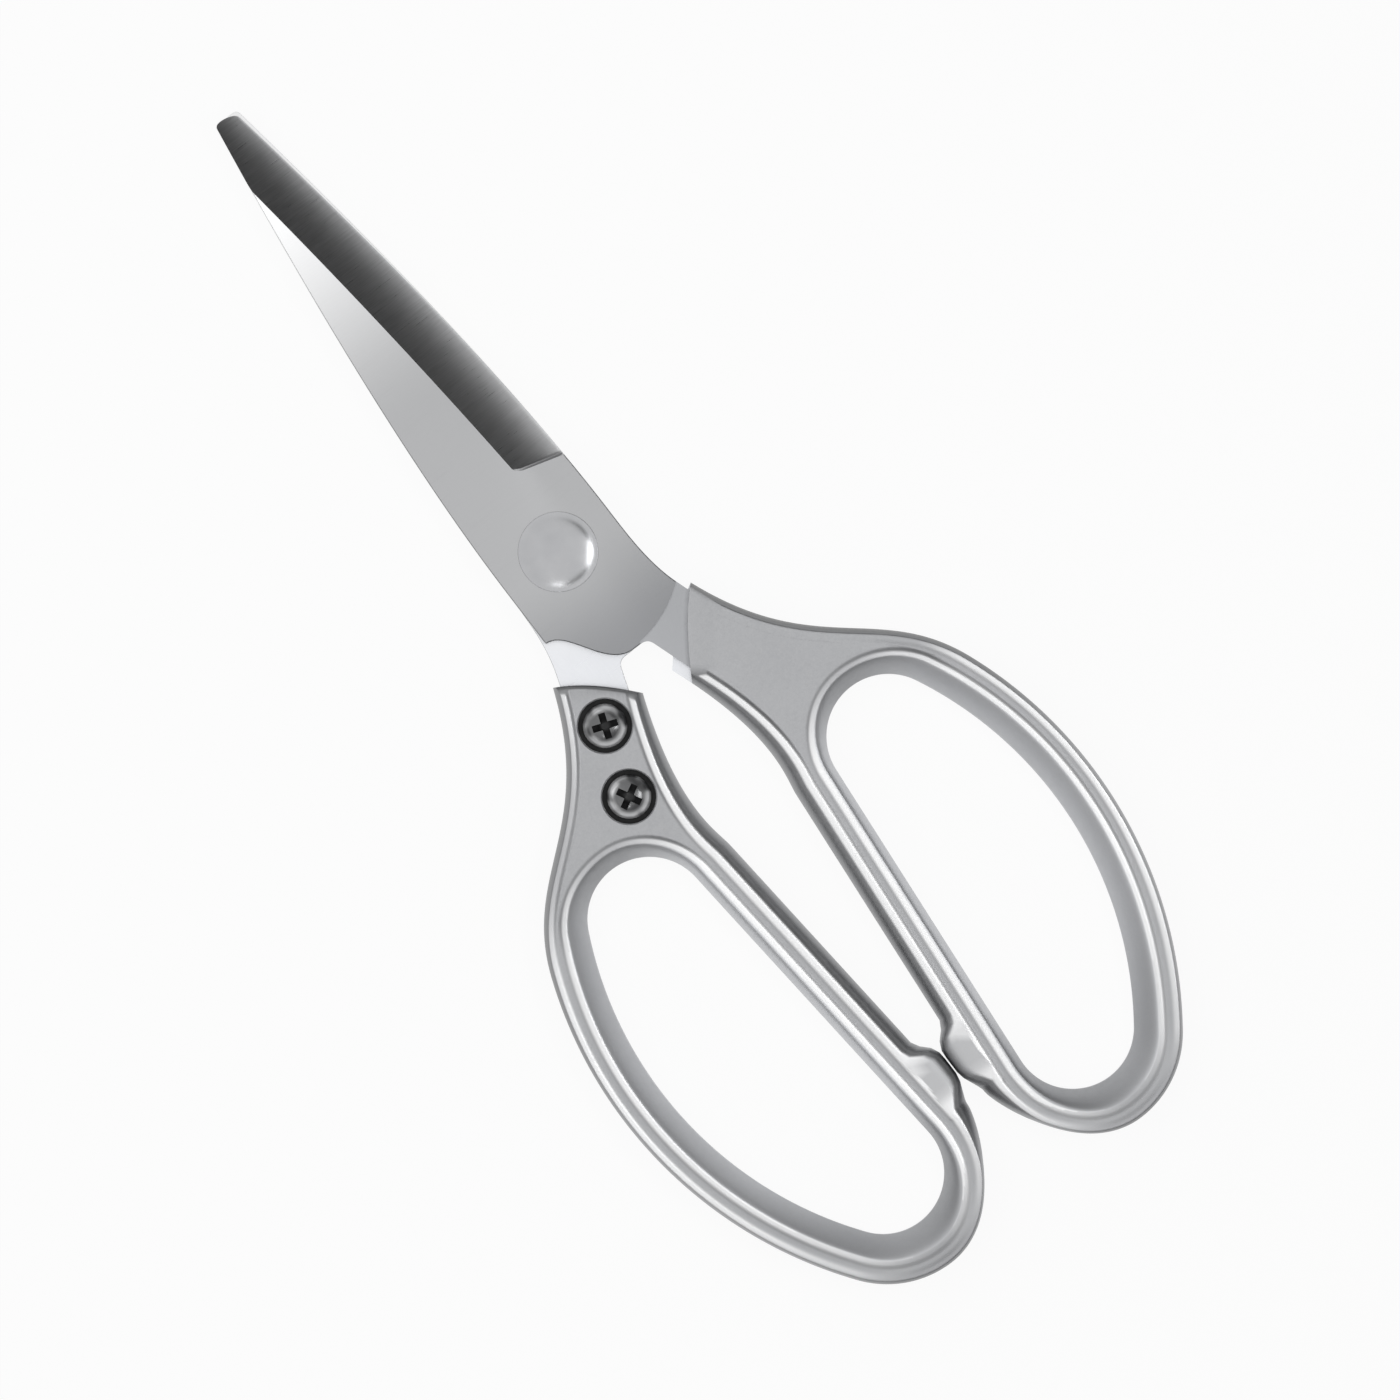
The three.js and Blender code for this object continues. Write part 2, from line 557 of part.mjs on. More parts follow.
// Rivet: domed head on the front blade, pin through both blades, flat foot at the back.
function rivetGeometry() {
  const head = outer_face + RIVET_FACE_GAP;
  const foot = -outer_face - 2 * RIVET_FACE_GAP - WASHER_THICKNESS - WASHER_DISH;
  const profile = [
    vector(0, -bead_level),
    vector(RIVET_FOOT_RADIUS - RIVET_FOOT_EDGE, -bead_level),
    vector(RIVET_FOOT_RADIUS, RIVET_FOOT_EDGE - bead_level),
    vector(RIVET_FOOT_RADIUS, foot),
    vector(PIN_RADIUS, foot),
    vector(PIN_RADIUS, head),
  ];
  profile.push(vector(RIVET_HEAD_RADIUS, head));
  const rise = RIVET_HEAD_HEIGHT - RIVET_HEAD_EDGE;
  const dome = (RIVET_HEAD_RADIUS ** 2 + rise ** 2) / (2 * rise);
  for (let i = 0; i <= 6; i++) {
    const radius = RIVET_HEAD_RADIUS * (1 - i / 6);
    const below_top = dome - Math.sqrt(dome ** 2 - radius ** 2);
    profile.push(vector(radius, head + RIVET_HEAD_HEIGHT - below_top));
  }
  return turned(profile, 48);
}

// Dished spring washer between the back blade and the rivet's foot.
function washerGeometry() {
  const bore = PIN_RADIUS + 2 * PIN_CLEARANCE;
  const near = -outer_face - RIVET_FACE_GAP;
  const profile = [
    vector(bore, near - WASHER_DISH),
    vector(bore, near - WASHER_DISH - WASHER_THICKNESS),
    vector(WASHER_RADIUS, near - WASHER_THICKNESS),
    vector(WASHER_RADIUS, near),
    vector(bore, near - WASHER_DISH),
  ];
  return turned(profile, 48);
}

const blade_steel = () => new THREE.MeshStandardMaterial({ color: 0xb4b5b7, roughness: 0.36, metalness: 1 });
const cast_alloy = () => new THREE.MeshStandardMaterial({ color: 0xaeaeb2, roughness: 0.42, metalness: 0.9 });
const black_steel = () => new THREE.MeshStandardMaterial({ color: 0x2a2b2d, roughness: 0.4, metalness: 0.8 });

function piece(name, geometry, material) {
  const mesh = new THREE.Mesh(geometry, material);
  mesh.name = name;
  return mesh;
}

const blade = geometryOf(bladeBody());
const handle = geometryOf(handleBody());
const seat = COUNTERBORE_DEPTH - panel_level - SCREW_SEAT_GAP;
const screw = geometryOf(screwBody(tang_face - SCREW_END_GAP - seat));

// One half of the shears, seen from the front: blade edge and handle to the right, screws at the back.
function half(blade_name, handle_name, side) {
  const group = new THREE.Group();
  group.add(piece(blade_name, blade, blade_steel()));
  group.add(piece(handle_name, handle, cast_alloy()));
  ["upper", "lower"].forEach((level, number) => {
    const mesh = piece(`${side}_${level}_screw`, screw, black_steel());
    const { x, y } = screwPlace(number);
    mesh.rotation.set(Math.PI, 0, number * 25 * degrees);
    mesh.position.set(x, y, seat);
    group.add(mesh);
  });
  return group;
}

const front = half("front_blade", "right_handle", "right");
const back = half("back_blade", "left_handle", "left");
back.rotation.y = Math.PI;

const shears = new THREE.Group();
shears.name = "kitchen_shears";
const rivet = piece("pivot_rivet", rivetGeometry(), blade_steel());
const washer = piece("spring_washer", washerGeometry(), blade_steel());
for (const member of [front, back, rivet, washer]) {
  member.position.z = bead_level;
  shears.add(member);
}

export default shears;
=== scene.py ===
"""Looks of the kitchen shears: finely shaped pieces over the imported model, metal finishes, light and camera.

Shapes are worked out in millimetres from the middle plane between the blades, for the front half: blade edge
and handle to the right, screws at the back. The back half is the same half turned over about Y.
"""
import math

import bmesh
import bpy
import numpy as np
from mathutils import Matrix, Vector


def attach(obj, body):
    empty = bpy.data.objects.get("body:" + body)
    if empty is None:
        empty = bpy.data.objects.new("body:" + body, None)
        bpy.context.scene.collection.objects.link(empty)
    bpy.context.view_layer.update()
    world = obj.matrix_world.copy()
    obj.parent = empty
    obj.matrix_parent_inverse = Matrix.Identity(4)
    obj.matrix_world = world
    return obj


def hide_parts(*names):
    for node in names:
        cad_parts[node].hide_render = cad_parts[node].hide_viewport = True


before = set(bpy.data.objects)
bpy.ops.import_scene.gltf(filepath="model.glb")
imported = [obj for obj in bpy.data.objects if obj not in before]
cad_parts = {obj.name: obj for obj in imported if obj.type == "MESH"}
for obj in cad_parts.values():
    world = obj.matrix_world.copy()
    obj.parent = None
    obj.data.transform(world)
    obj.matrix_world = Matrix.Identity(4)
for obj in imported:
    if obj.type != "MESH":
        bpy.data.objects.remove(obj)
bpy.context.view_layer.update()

MM = 0.001
degrees = math.pi / 180

# Blade
BLADE_THICKNESS = 2.8
BLADE_GAP = 0.12
BLADE_LENGTH = 86
BLADE_HALF_WIDTH = 10.3
BLADE_FULLNESS = 32
TIP_EDGE_WIDTH = 1.8
TIP_SPINE_WIDTH = 2.2
TIP_SLANT = 0.8
TIP_ROUND = 1.1
HEEL_CORNER_Y = -10.3
HEEL_Y = -19.3
HEEL_ROUND = 1.2
HEEL_FOOT_X = 0.2
HEEL_SPINE_REACH = 4.1
HEEL_FOOT_REACH = 5.4
BLADE_TOP_ROUND = 0.2  # rounded edge of the outer face
BLADE_LOW_ROUND = 0.08  # broken edge of the inner face
GRIND_START = (2.1, 14.5)
GRIND_END = (-3.9, 74.5)
GRIND_BOW = 0.45
GRIND_DROP = 3.4
GRIND_CORNER = 0.7
GRIND_RUNOUT = 0.5
GRIND_CORNER_SHARE = 0.15  # share of its width that this corner takes
GRIND_OVERRUN = 1.5  # past the cutting edge
GRIND_LIFT = 0.02  # above the outer face
HOLLOW_DEPTH = 0.3
EDGE_THICKNESS = 0.18

# Tang and screws
TANG_LEAN = 18.7 * degrees
TANG_INNER = 5.3
TANG_OUTER = 4.7
TANG_THICKNESS = 2.4
TANG_STEP_RADIUS = 19
TANG_STEP_LEFT = 1.5
TANG_STEP_TOP = -8
TANG_END = 16.6
TANG_SHOULDER = 10
TANG_CORNER = 2
TANG_FIT = 0.15
SCREW_PLACE = (10.7, -26.1)
SCREW_SPACING = 11.7
SCREW_RADIUS = 2
SCREW_HEAD_RADIUS = 3.5
SCREW_HEAD_HEIGHT = 1.9
SCREW_HEAD_WALL = 0.7
SCREW_HEAD_EDGE = 0.1
SCREW_TIP_CHAMFER = 0.4
SCREW_PAINTED_GLINT_RADIUS = (2.1, 2.9)  # where the painted highlight on the head's rim begins and is full
SCREW_FIT = 0.06
SCREW_WALL_FIT = 0.25
SCREW_SEAT_GAP = 0.04
SCREW_END_GAP = 0.3
COUNTERBORE_RADIUS = 4.25
COUNTERBORE_DEPTH = 2.1
COUNTERBORE_LIP = 0.28  # rounded rim of the counterbore
COUNTERBORE_LIP_TURN = 75  # degrees of that round
COUNTERBORE_LIP_WALL = 0.15  # straight wall below it
COUNTERBORE_LIP_REACH = 0.9  # share of the rim at which its cut goes straight up
COUNTERBORE_INSET = 0.01  # of the cut below the rim
COUNTERBORE_OVERLAP = 0.1  # between its cuts
RECESS_LENGTH = 4.2
RECESS_WIDTH = 1.1
RECESS_TAPER = ((-0.4, 1.12), (0.35, 0.95), (1.25, 0.5), (1.5, 0.12))  # depths with shares of its length
RECESS_TIP_WIDTH = 0.75  # share of its width that is left at its tip
RECESS_LEAST_LENGTH = 1.05  # in widths
RECESS_TURNS = (70, 28)  # of the upper and lower screw's recess, in degrees

# Handle
HANDLE_THICKNESS = 9.2
BEAD_RISE = 0.3
BEAD_FLANK = 1.2
GROOVE_FLAT = 0.3
GROOVE_DEPTH = 0.17  # between the bow's beads, shallower than the neck's panel
GROOVE_BOTTOM_FADE = 0.5  # how much shallower it is at the bow's bottom
RIM_WIDTH = 7.4
RIM_BOTTOM_WIDTH = 8.05
RIM_CORNER_THINNING = 1.4
RIM_LEAST_WALL = 0.6
RIM_SQUEEZE_BLEND = 0.001  # softens where a thin rim squeezes the beads
RIM_EDGE_HEIGHT = 1.5
RIM_EDGE_ROW = 0.6  # share of it at which a row of points lies
SLOPE_STRAIGHT = 2
SLOPE_ARC = 3.85
SLOPE_TOP = 2.7
SLOPE_BOTTOM = 4.6
SLOPE_ROUND = 1.55  # how late the slope bends down from the inner bead
SLOPE_STRAIGHT_ROUND = 3.0
CREST_SHARE = 0.18  # half of a bead's flat crest, as a share of its flank
NUB_FULLNESS = 0.38  # 1 is a quarter of an ellipse, less is fuller
OPENING_Y = -77.15
OPENING_NEAR_X = 11.8
OPENING_FAR_X = 38.6
OPENING_ARC_RADIUS = 61.6
OPENING_TILT = 5 * degrees
OPENING_TOP_RADIUS = 9.75
OPENING_BOTTOM_RADIUS = 9.6
NECK_OUTER = (13.6, -16.4)
NECK_INNER = (2.9, -25.6)
NECK_CUTBACK = 5.8
NECK_END_BOW = 1.4
NECK_END_BOW_SHARE = 0.6
NECK_LEAN = 21 * degrees
NECK_BLEND = 5 * degrees
NECK_OUTER_ROUND = 17
NECK_OUTER_SWEEP = 23.4
NECK_INNER_ROUND = 3
NECK_INNER_SWEEP = 18.9
NECK_SPARE = 6
NECK_SPARE_ROUND = 8
OUTER_BEAD_FADE = 0.5  # how much lower the outer bead is at the bow's top and bottom
NECK_BEAD_SHARE = 0.1  # of the outer bead, left beside the neck on the thin side
NECK_SCREW_BEAD_SHARE = 0.95  # and on the screws' side
NECK_WALL = 1.2  # outer wall there
NECK_END_ROUND = 0.8  # rounded edge of the neck's end on the screw side
NECK_END_REACH = 0.8
NECK_END_TURN = 72  # degrees of that round
THIN_END_DROP = 0.3  # the thin side runs out in a slight ramp
THIN_END_REACH = 5.0
THIN_END_OVERRUN = 1.2  # share of it at which its cut ends
END_CUT_SPARE = 0.6  # height of the end's cuts above the beads
END_CUT_LIFT = 0.01
THIN_END_FADE = (2.4, 6.0)  # where the ramp fades in from the neck's inner corner
STOP_Y = -101.5
STOP_HALF_LENGTH = 1.9
STOP_FLANK = 5
STOP_LOW_SLOPE = 0.42
STOP_GAP = 0.2
STOP_HOLLOW = 4  # how far the hollow flank above the nub falls back
STOP_HOLLOW_BEND = 2.2
STOP_BLEND = 0.25  # soft passage from the nub to the wall
STOP_REACH_X = 12  # the nub lies this near the middle
STOP_REACH_Y = 14  # and ends this far below its middle
STOP_SWELL = (0.2, 1.4)  # swelling at which the nub begins and is full

# Stretches of the neck, as shares of its outer side from arc to straight
NECK_ROW_SLOWING = 0.58  # how much closer its rows are at both ends
NECK_WALL_IN = (0, 0.2)
NECK_WALL_OUT = (0.55, 1)
NECK_BEAD_OUT = (0, 0.22)
NECK_BEAD_IN = (0.45, 0.6)
NECK_PANEL_IN = (0, 0.15)
NECK_PANEL_OUT = (0.85, 1)

# Rivet and washer
PIN_RADIUS = 3
PIN_CLEARANCE = 0.06
RIVET_FACE_GAP = 0.04
RIVET_HEAD_RADIUS = 6.3
RIVET_HEAD_EDGE = 0.1
RIVET_SHOULDER = 5.1  # where the low dome is steepest
RIVET_SHOULDER_SLOPE = 0.2
RIVET_SHOULDER_BEND = 2.5
RIVET_RIM_SLOPE = 0.05
RIVET_FOOT_RADIUS = 4.8
RIVET_FOOT_EDGE = 0.3
WASHER_RADIUS = 5.7
WASHER_THICKNESS = 0.4
WASHER_DISH = 0.25
WASHER_EDGE = 0.08

# Levels from the middle plane
inner_face = BLADE_GAP / 2
outer_face = inner_face + BLADE_THICKNESS
bead_level = HANDLE_THICKNESS / 2
panel_level = bead_level - BEAD_RISE
slot_floor = inner_face - TANG_FIT
tang_face = inner_face + TANG_THICKNESS
slot_roof = tang_face + TANG_FIT
screw_seat = COUNTERBORE_DEPTH - panel_level
CLEAR_PAST = 12  # reach of the cutting shapes past the part
FAR_PAST = 60  # the same along the tang
CLEAR_ABOVE = 2  # and above the blade

# Fineness of the meshes
SIDE_COUNT = 40
BOTTOM_COUNT = 80
ARC_COUNT = 96
NECK_COUNT = 240
NECK_END_COUNT = 40
END_ROUND_ROWS = 13
END_RAMP_ROWS = 24
END_MARK_COUNT = 60
WALL_ROWS = 17
FLANK_ROWS = 9
GROOVE_ROWS = (0.08, 0.2, 0.35, 0.5, 0.65, 0.8, 0.92, 1)  # shares of the groove's width
SLOPE_ROWS = 16
EDGE_ROWS = 5
LIP_ROWS = 9
GRIND_ROWS = 150
RUNOUT_ROWS = 12
GRIND_COLUMNS = 36
GRIND_COLUMN_BEND = 1.3  # more than 1 brings them closer at the inner line
TANG_STEP_COUNT = 90
SLOT_CORNER_COUNT = 20
CROWN_ROWS = 16
DOME_ROWS = 64
CURVE_COUNT = 120
OUTLINE_STEP = 0.35
OUTLINE_FINE_STEP = 0.04
OUTLINE_SOFTENING = 0.12
TURN_COUNT = 96
HOLE_TURN_COUNT = 48
SHARP_ANGLE = 32 * degrees  # edges that turn more stay sharp
POINT_MERGE = 1e-8  # in metres
CUT_MERGE = 2e-6
SLIVER = 1e-7


def point(*values):
    return np.array(values, float)


def heading(angle):
    return point(math.cos(angle), math.sin(angle))


def mix(a, b, share):
    return a + (b - a) * share


def smooth(value, low, high):
    t = np.clip((value - low) / (high - low), 0, 1)
    return t * t * (3 - 2 * t)


def bezier(*corners, count=CURVE_COUNT):
    t = np.linspace(0, 1, count)[:, None]
    rows = [np.repeat(point(*corner)[None], count, 0) for corner in corners]
    while len(rows) > 1:
        rows = [mix(a, b, t) for a, b in zip(rows, rows[1:])]
    return rows[0]


def arc(centre, radius, start, end, count=CURVE_COUNT):
    angles = np.linspace(start, end, count)
    return centre + radius * np.stack([np.cos(angles), np.sin(angles)], 1)


def spaced(path, shares):
    """Points at shares of a path's length."""
    lengths = np.concatenate([[0], np.cumsum(np.linalg.norm(np.diff(path, axis=0), axis=1))])
    return np.stack([np.interp(shares * lengths[-1], lengths, path[:, axis]) for axis in (0, 1)], 1)


def even(path, count):
    """Points at even steps along a path, without its last one."""
    return spaced(path, np.linspace(0, 1, count, endpoint=False))


def outline(*paths):
    """A closed outline through the paths, at even steps, with softened corners."""
    path = np.concatenate([*paths, paths[0][:1]])
    length = np.linalg.norm(np.diff(path, axis=0), axis=1).sum()
    fine = even(path, int(length / OUTLINE_FINE_STEP))
    reach = int(3 * OUTLINE_SOFTENING / OUTLINE_FINE_STEP)
    shifts = np.arange(-reach, reach + 1)
    weights = np.exp(-0.5 * (shifts * OUTLINE_FINE_STEP / OUTLINE_SOFTENING) ** 2)
    weights /= weights.sum()
    softened = sum(weight * np.roll(fine, shift, 0) for weight, shift in zip(weights, shifts))
    return even(np.concatenate([softened, softened[:1]]), int(length / OUTLINE_STEP))


def unit(vectors):
    return vectors / np.linalg.norm(vectors, axis=-1, keepdims=True)


def left_of(vectors):
    """Unit vectors a quarter turn to the left."""
    return unit(np.stack([-vectors[..., 1], vectors[..., 0]], -1))


def left_normals(path):
    """Unit normals to the left of a closed row of points."""
    return left_of(np.roll(path, -1, 0) - np.roll(path, 1, 0))


def on_tang(across, along):
    c, s = math.cos(TANG_LEAN), math.sin(TANG_LEAN)
    return point(SCREW_PLACE[0] + c * across + s * along, SCREW_PLACE[1] + s * across - c * along)


def tang_edge(across, y):
    return on_tang(across, (on_tang(across, 0)[1] - y) / math.cos(TANG_LEAN))


def tang_end(inner, outer, end, count=CURVE_COUNT):
    """The tang's rounded end, from its inner edge to its outer one."""
    corner = TANG_CORNER
    return np.concatenate([
        bezier(on_tang(inner, end - corner), on_tang(inner, end), on_tang(inner + corner, end), count=count),
        bezier(on_tang(outer - corner, end), on_tang(outer, end), on_tang(outer, end - corner), count=count),
    ])


def screw_place(number):
    return on_tang(0, number * SCREW_SPACING)


# Meshes


def new_object(name, data):
    made = bpy.data.objects.new(name, data)
    bpy.context.scene.collection.objects.link(made)
    return made


def solid(name, points, faces, material=None):
    """An object from points in millimetres, with faces wound outwards."""
    mesh = bpy.data.meshes.new(name)
    mesh.from_pydata([tuple(p) for p in np.asarray(points) * MM], [], faces)
    body = bmesh.new()
    body.from_mesh(mesh)
    bmesh.ops.remove_doubles(body, verts=body.verts, dist=POINT_MERGE)
    bmesh.ops.recalc_face_normals(body, faces=body.faces)
    body.to_mesh(mesh)
    body.free()
    if material:
        mesh.materials.append(material)
    return new_object(name, mesh)


def ring_faces(rows, across, closed=True):
    """Quads between rows that are loops of so many points."""
    faces = []
    for i in range(rows if closed else rows - 1):
        here, there = i * across, (i + 1) % rows * across
        for j in range(across):
            beside = (j + 1) % across
            faces.append((here + j, there + j, there + beside, here + beside))
    return faces


def stack(name, loops, material=None):
    """A body through closed loops of equal count, with flat ends."""
    across = len(loops[0])
    faces = ring_faces(len(loops), across, closed=False)
    faces.append(tuple(range(across)))
    faces.append(tuple(range((len(loops) - 1) * across, len(loops) * across)))
    return solid(name, np.concatenate(loops), faces, material)


def level(path, z):
    return np.column_stack([path, np.full(len(path), z)])


def plate(name, path, material):
    """The blade's plate with rounded edges, from an outline that runs anticlockwise."""
    normals = left_normals(path)
    turns = np.linspace(0, 90 * degrees, EDGE_ROWS)

    def edge(z, size, sign):
        insets = size * (1 - np.cos(turns))
        heights = z - sign * size * (1 - np.sin(turns))
        return [level(path + normals * inset, height) for inset, height in zip(insets, heights)]

    low, top = edge(inner_face, BLADE_LOW_ROUND, -1), edge(outer_face, BLADE_TOP_ROUND, 1)
    return stack(name, low[::-1] + top, material)


def rings(profile, place=(0, 0), count=TURN_COUNT):
    """Loops about a line along Z, from rows of radius and height."""
    turns = np.linspace(0, 2 * math.pi, count, endpoint=False)
    circle = np.stack([np.cos(turns), np.sin(turns)], 1)
    return [level(circle * radius + point(*place), z) for radius, z in profile]


def lathe(name, profile, material=None, place=(0, 0), count=TURN_COUNT):
    return stack(name, rings(profile, place, count), material)


def hole_tool(radius, place=(0, 0), count=TURN_COUNT):
    return lathe("hole", [(radius, -CLEAR_PAST), (radius, CLEAR_PAST)], place=place, count=count)


def rounded(start, corner, end, size):
    """Points of a quarter-like round at a profile's corner."""
    start, corner, end = point(*start), point(*corner), point(*end)
    first = corner + unit(start - corner) * size
    last = corner + unit(end - corner) * size
    return [tuple(p) for p in bezier(first, corner, last, count=EDGE_ROWS)]


def cut(body, tool):
    """Cuts with a tool, which is used up."""
    change = body.modifiers.new("change", "BOOLEAN")
    change.operation = "DIFFERENCE"
    change.solver = "MANIFOLD"
    change.object = tool
    change.material_mode = "TRANSFER"
    graph = bpy.context.evaluated_depsgraph_get()
    changed = bpy.data.meshes.new_from_object(body.evaluated_get(graph))
    body.modifiers.clear()
    old = body.data
    body.data = changed
    bpy.data.meshes.remove(old)
    bpy.data.objects.remove(tool)


def shade(body):
    """Smooth shading that breaks at sharp edges and between finishes."""
    mesh = bmesh.new()
    mesh.from_mesh(body.data)
    bmesh.ops.remove_doubles(mesh, verts=mesh.verts, dist=CUT_MERGE)
    bmesh.ops.dissolve_degenerate(mesh, edges=mesh.edges, dist=SLIVER)
    for face in mesh.faces:
        face.smooth = True
    for edge in mesh.edges:
        ends = edge.link_faces
        turn = edge.calc_face_angle(0) if len(ends) == 2 else 0
        edge.smooth = turn < SHARP_ANGLE and len({face.material_index for face in ends}) < 2
    mesh.to_mesh(body.data)
    mesh.free()
    weights = body.modifiers.new("weighted normals", "WEIGHTED_NORMAL")
    weights.keep_sharp = True


# Blade


def half_width(y):
    end = BLADE_LENGTH - TIP_SLANT - TIP_ROUND
    root = np.sqrt(BLADE_FULLNESS ** 2 + (end - 2 * BLADE_FULLNESS) * y)
    t = y / (BLADE_FULLNESS + root)
    return BLADE_HALF_WIDTH - (BLADE_HALF_WIDTH - TIP_EDGE_WIDTH) * t * t


def blade_outline():
    edge_end, spine_end = BLADE_LENGTH - TIP_SLANT, BLADE_LENGTH
    edge_side, spine_side = (TIP_EDGE_WIDTH, edge_end - TIP_ROUND), (-TIP_SPINE_WIDTH, spine_end - TIP_ROUND)
    tip = (0, mix(edge_end, spine_end, 0.5))
    crotch = tang_edge(-TANG_INNER, HEEL_Y)
    below_crotch = tang_edge(-TANG_INNER, HEEL_Y - HEEL_ROUND)
    waist = tang_edge(TANG_OUTER, HEEL_CORNER_Y)
    half = BLADE_HALF_WIDTH
    return outline(
        bezier(
            (-half, HEEL_CORNER_Y),
            (HEEL_SPINE_REACH - half, HEEL_CORNER_Y),
            (HEEL_FOOT_X - HEEL_FOOT_REACH, HEEL_Y),
            (HEEL_FOOT_X, HEEL_Y),
        ),
        bezier((crotch[0] - HEEL_ROUND, HEEL_Y), crotch, below_crotch),
        tang_end(-TANG_INNER, TANG_OUTER, TANG_END),
        bezier(on_tang(TANG_OUTER, -TANG_SHOULDER), waist, (half, HEEL_CORNER_Y / 2), (half, 0)),
        bezier((half, 0), (half, BLADE_FULLNESS), edge_side),
        bezier(edge_side, (TIP_EDGE_WIDTH, edge_end), tip),
        bezier(tip, (-TIP_SPINE_WIDTH, spine_end), spine_side),
        bezier(spine_side, (-half, BLADE_FULLNESS), (-half, 0)),
    )


def grind_tool(material):
    """What the grinding wheel takes off the outer face."""
    share = np.linspace(0, 1, GRIND_COLUMNS) ** GRIND_COLUMN_BEND
    low = GRIND_START[1] - GRIND_CORNER - (GRIND_DROP - GRIND_CORNER) * share
    low += GRIND_CORNER * (1 - np.minimum(share / GRIND_CORNER_SHARE, 1)) ** 2
    grid = []
    for i in range(RUNOUT_ROWS + GRIND_ROWS + 1):
        run = min(i / RUNOUT_ROWS, 1)
        up = max(i - RUNOUT_ROWS, 0) / GRIND_ROWS
        y = mix(low + GRIND_RUNOUT * run, BLADE_LENGTH + 1, up)
        t = (y - GRIND_START[1]) / (GRIND_END[1] - GRIND_START[1])
        line = mix(GRIND_START[0], GRIND_END[0], t) + GRIND_BOW * 4 * t * (1 - t)
        edge = half_width(np.minimum(y, BLADE_LENGTH))
        x = mix(line, edge + GRIND_OVERRUN, share)
        inside = np.minimum((x - line) / (edge - line), 1)
        hollow = HOLLOW_DEPTH * 4 * inside * (1 - inside)
        depth = ((BLADE_THICKNESS - EDGE_THICKNESS) * inside + hollow) * math.sin(run * math.pi / 2)
        grid.append(np.column_stack([x, y, outer_face + GRIND_LIFT - depth]))
    lid = np.array(grid) * (1, 1, 0) + (0, 0, outer_face + CLEAR_ABOVE)
    around = [np.concatenate([row, top[::-1]]) for row, top in zip(grid, lid)]
    return stack("grind_tool", around, material)


def tang_step_tool(material):
    """What is turned off the outer face beyond the heel."""
    low = math.asin(TANG_STEP_TOP / TANG_STEP_RADIUS)
    start = -math.acos(TANG_STEP_LEFT / TANG_STEP_RADIUS)
    rim = arc(point(0, 0), TANG_STEP_RADIUS, low, start, TANG_STEP_COUNT)
    far = FAR_PAST
    path = np.concatenate([rim, [(TANG_STEP_LEFT, -far), (far, -far), (far, TANG_STEP_TOP)]])
    return stack("step_tool", [level(path, tang_face), level(path, outer_face + CLEAR_ABOVE)], material)


def blade(name, satin, ground, polished, blasted):
    """A blade with its satin outer face, hollow grind, polished inner face and blasted tang."""
    body = plate(name, blade_outline(), satin)
    body.data.materials.append(polished)
    for face in body.data.polygons:
        face.material_index = int(face.normal.z < -0.9)
    cut(body, grind_tool(ground))
    cut(body, tang_step_tool(blasted))
    cut(body, hole_tool(PIN_RADIUS + PIN_CLEARANCE))
    for number in (0, 1):
        cut(body, hole_tool(SCREW_RADIUS + SCREW_FIT, screw_place(number), HOLE_TURN_COUNT))
    return body


# Handle


def neck_end(inner_y):
    """The bowed end of the neck, from past its inner corner to past its outer one."""
    outer = point(*NECK_OUTER)
    inner = point(NECK_INNER[0], inner_y)
    aim = mix(inner, outer, NECK_END_BOW_SHARE) + left_of(outer - inner) * NECK_END_BOW
    bow = bezier(inner, aim, outer, count=NECK_END_COUNT)
    before = inner - unit(bow[1] - bow[0]) * CLEAR_PAST
    after = outer + unit(bow[-1] - bow[-2]) * CLEAR_PAST
    return np.concatenate([[before], bow, [after]])


def rounded_edge(_):
    """Reach and height of the rounded edge of the neck's end on the screw side."""
    turns = np.linspace(0, NECK_END_TURN, END_ROUND_ROWS) * degrees
    reaches = NECK_END_REACH * (np.cos(turns) - 1)
    heights = panel_level - NECK_END_ROUND * (1 - np.sin(turns))
    climb = (reaches[-2] - reaches[-1]) / (heights[-1] - heights[-2])
    top = bead_level + END_CUT_SPARE
    return [*zip(reaches, heights), (reaches[-1] - climb * (top - heights[-1]), top)]


def ramped_edge(depth):
    """Reach and height of the thin side's end: a soft ramp, which runs out beside the bead."""
    foot = panel_level + END_CUT_LIFT + END_CUT_SPARE * (1 - depth) ** 2
    drop = THIN_END_DROP * depth
    steps = np.linspace(0, 1, END_RAMP_ROWS)
    edge = [(-THIN_END_REACH * u, foot - drop * (1 - u) ** 2 * (1 + 2 * u)) for u in steps]
    return edge + [(-THIN_END_REACH * THIN_END_OVERRUN, bead_level + END_CUT_SPARE)]


def end_tool(name, inner_y, base, top_sign, edge_at, material, seat=None):
    """Takes off what lies past the neck's end, and leaves the edge on one face and a machined seat, whose
    bright finish also paints light on its shaded ledge.
    """
    path = neck_end(inner_y)
    loops = []
    for place, away in zip(path, left_of(np.gradient(path, axis=0))):
        from_inner = np.linalg.norm(place - path[1]) * (place[0] > path[1][0])
        edge = edge_at(smooth(from_inner, *THIN_END_FADE))
        past = [(edge[-1][0], CLEAR_PAST), (CLEAR_PAST, CLEAR_PAST), (CLEAR_PAST, base)]
        loop = [(*(place + away * reach), top_sign * z) for reach, z in [(0, base), *edge, *past]]
        loops.append(np.array(loop))
    tool = stack(name, loops, material)
    # the seat's bright finish is partly painted light on a shaded ledge
    if seat:
        tool.data.materials.append(seat)
        for face in tool.data.polygons:
            face.material_index = int(abs(face.center.z - top_sign * base * MM) < CUT_MERGE)
    return tool


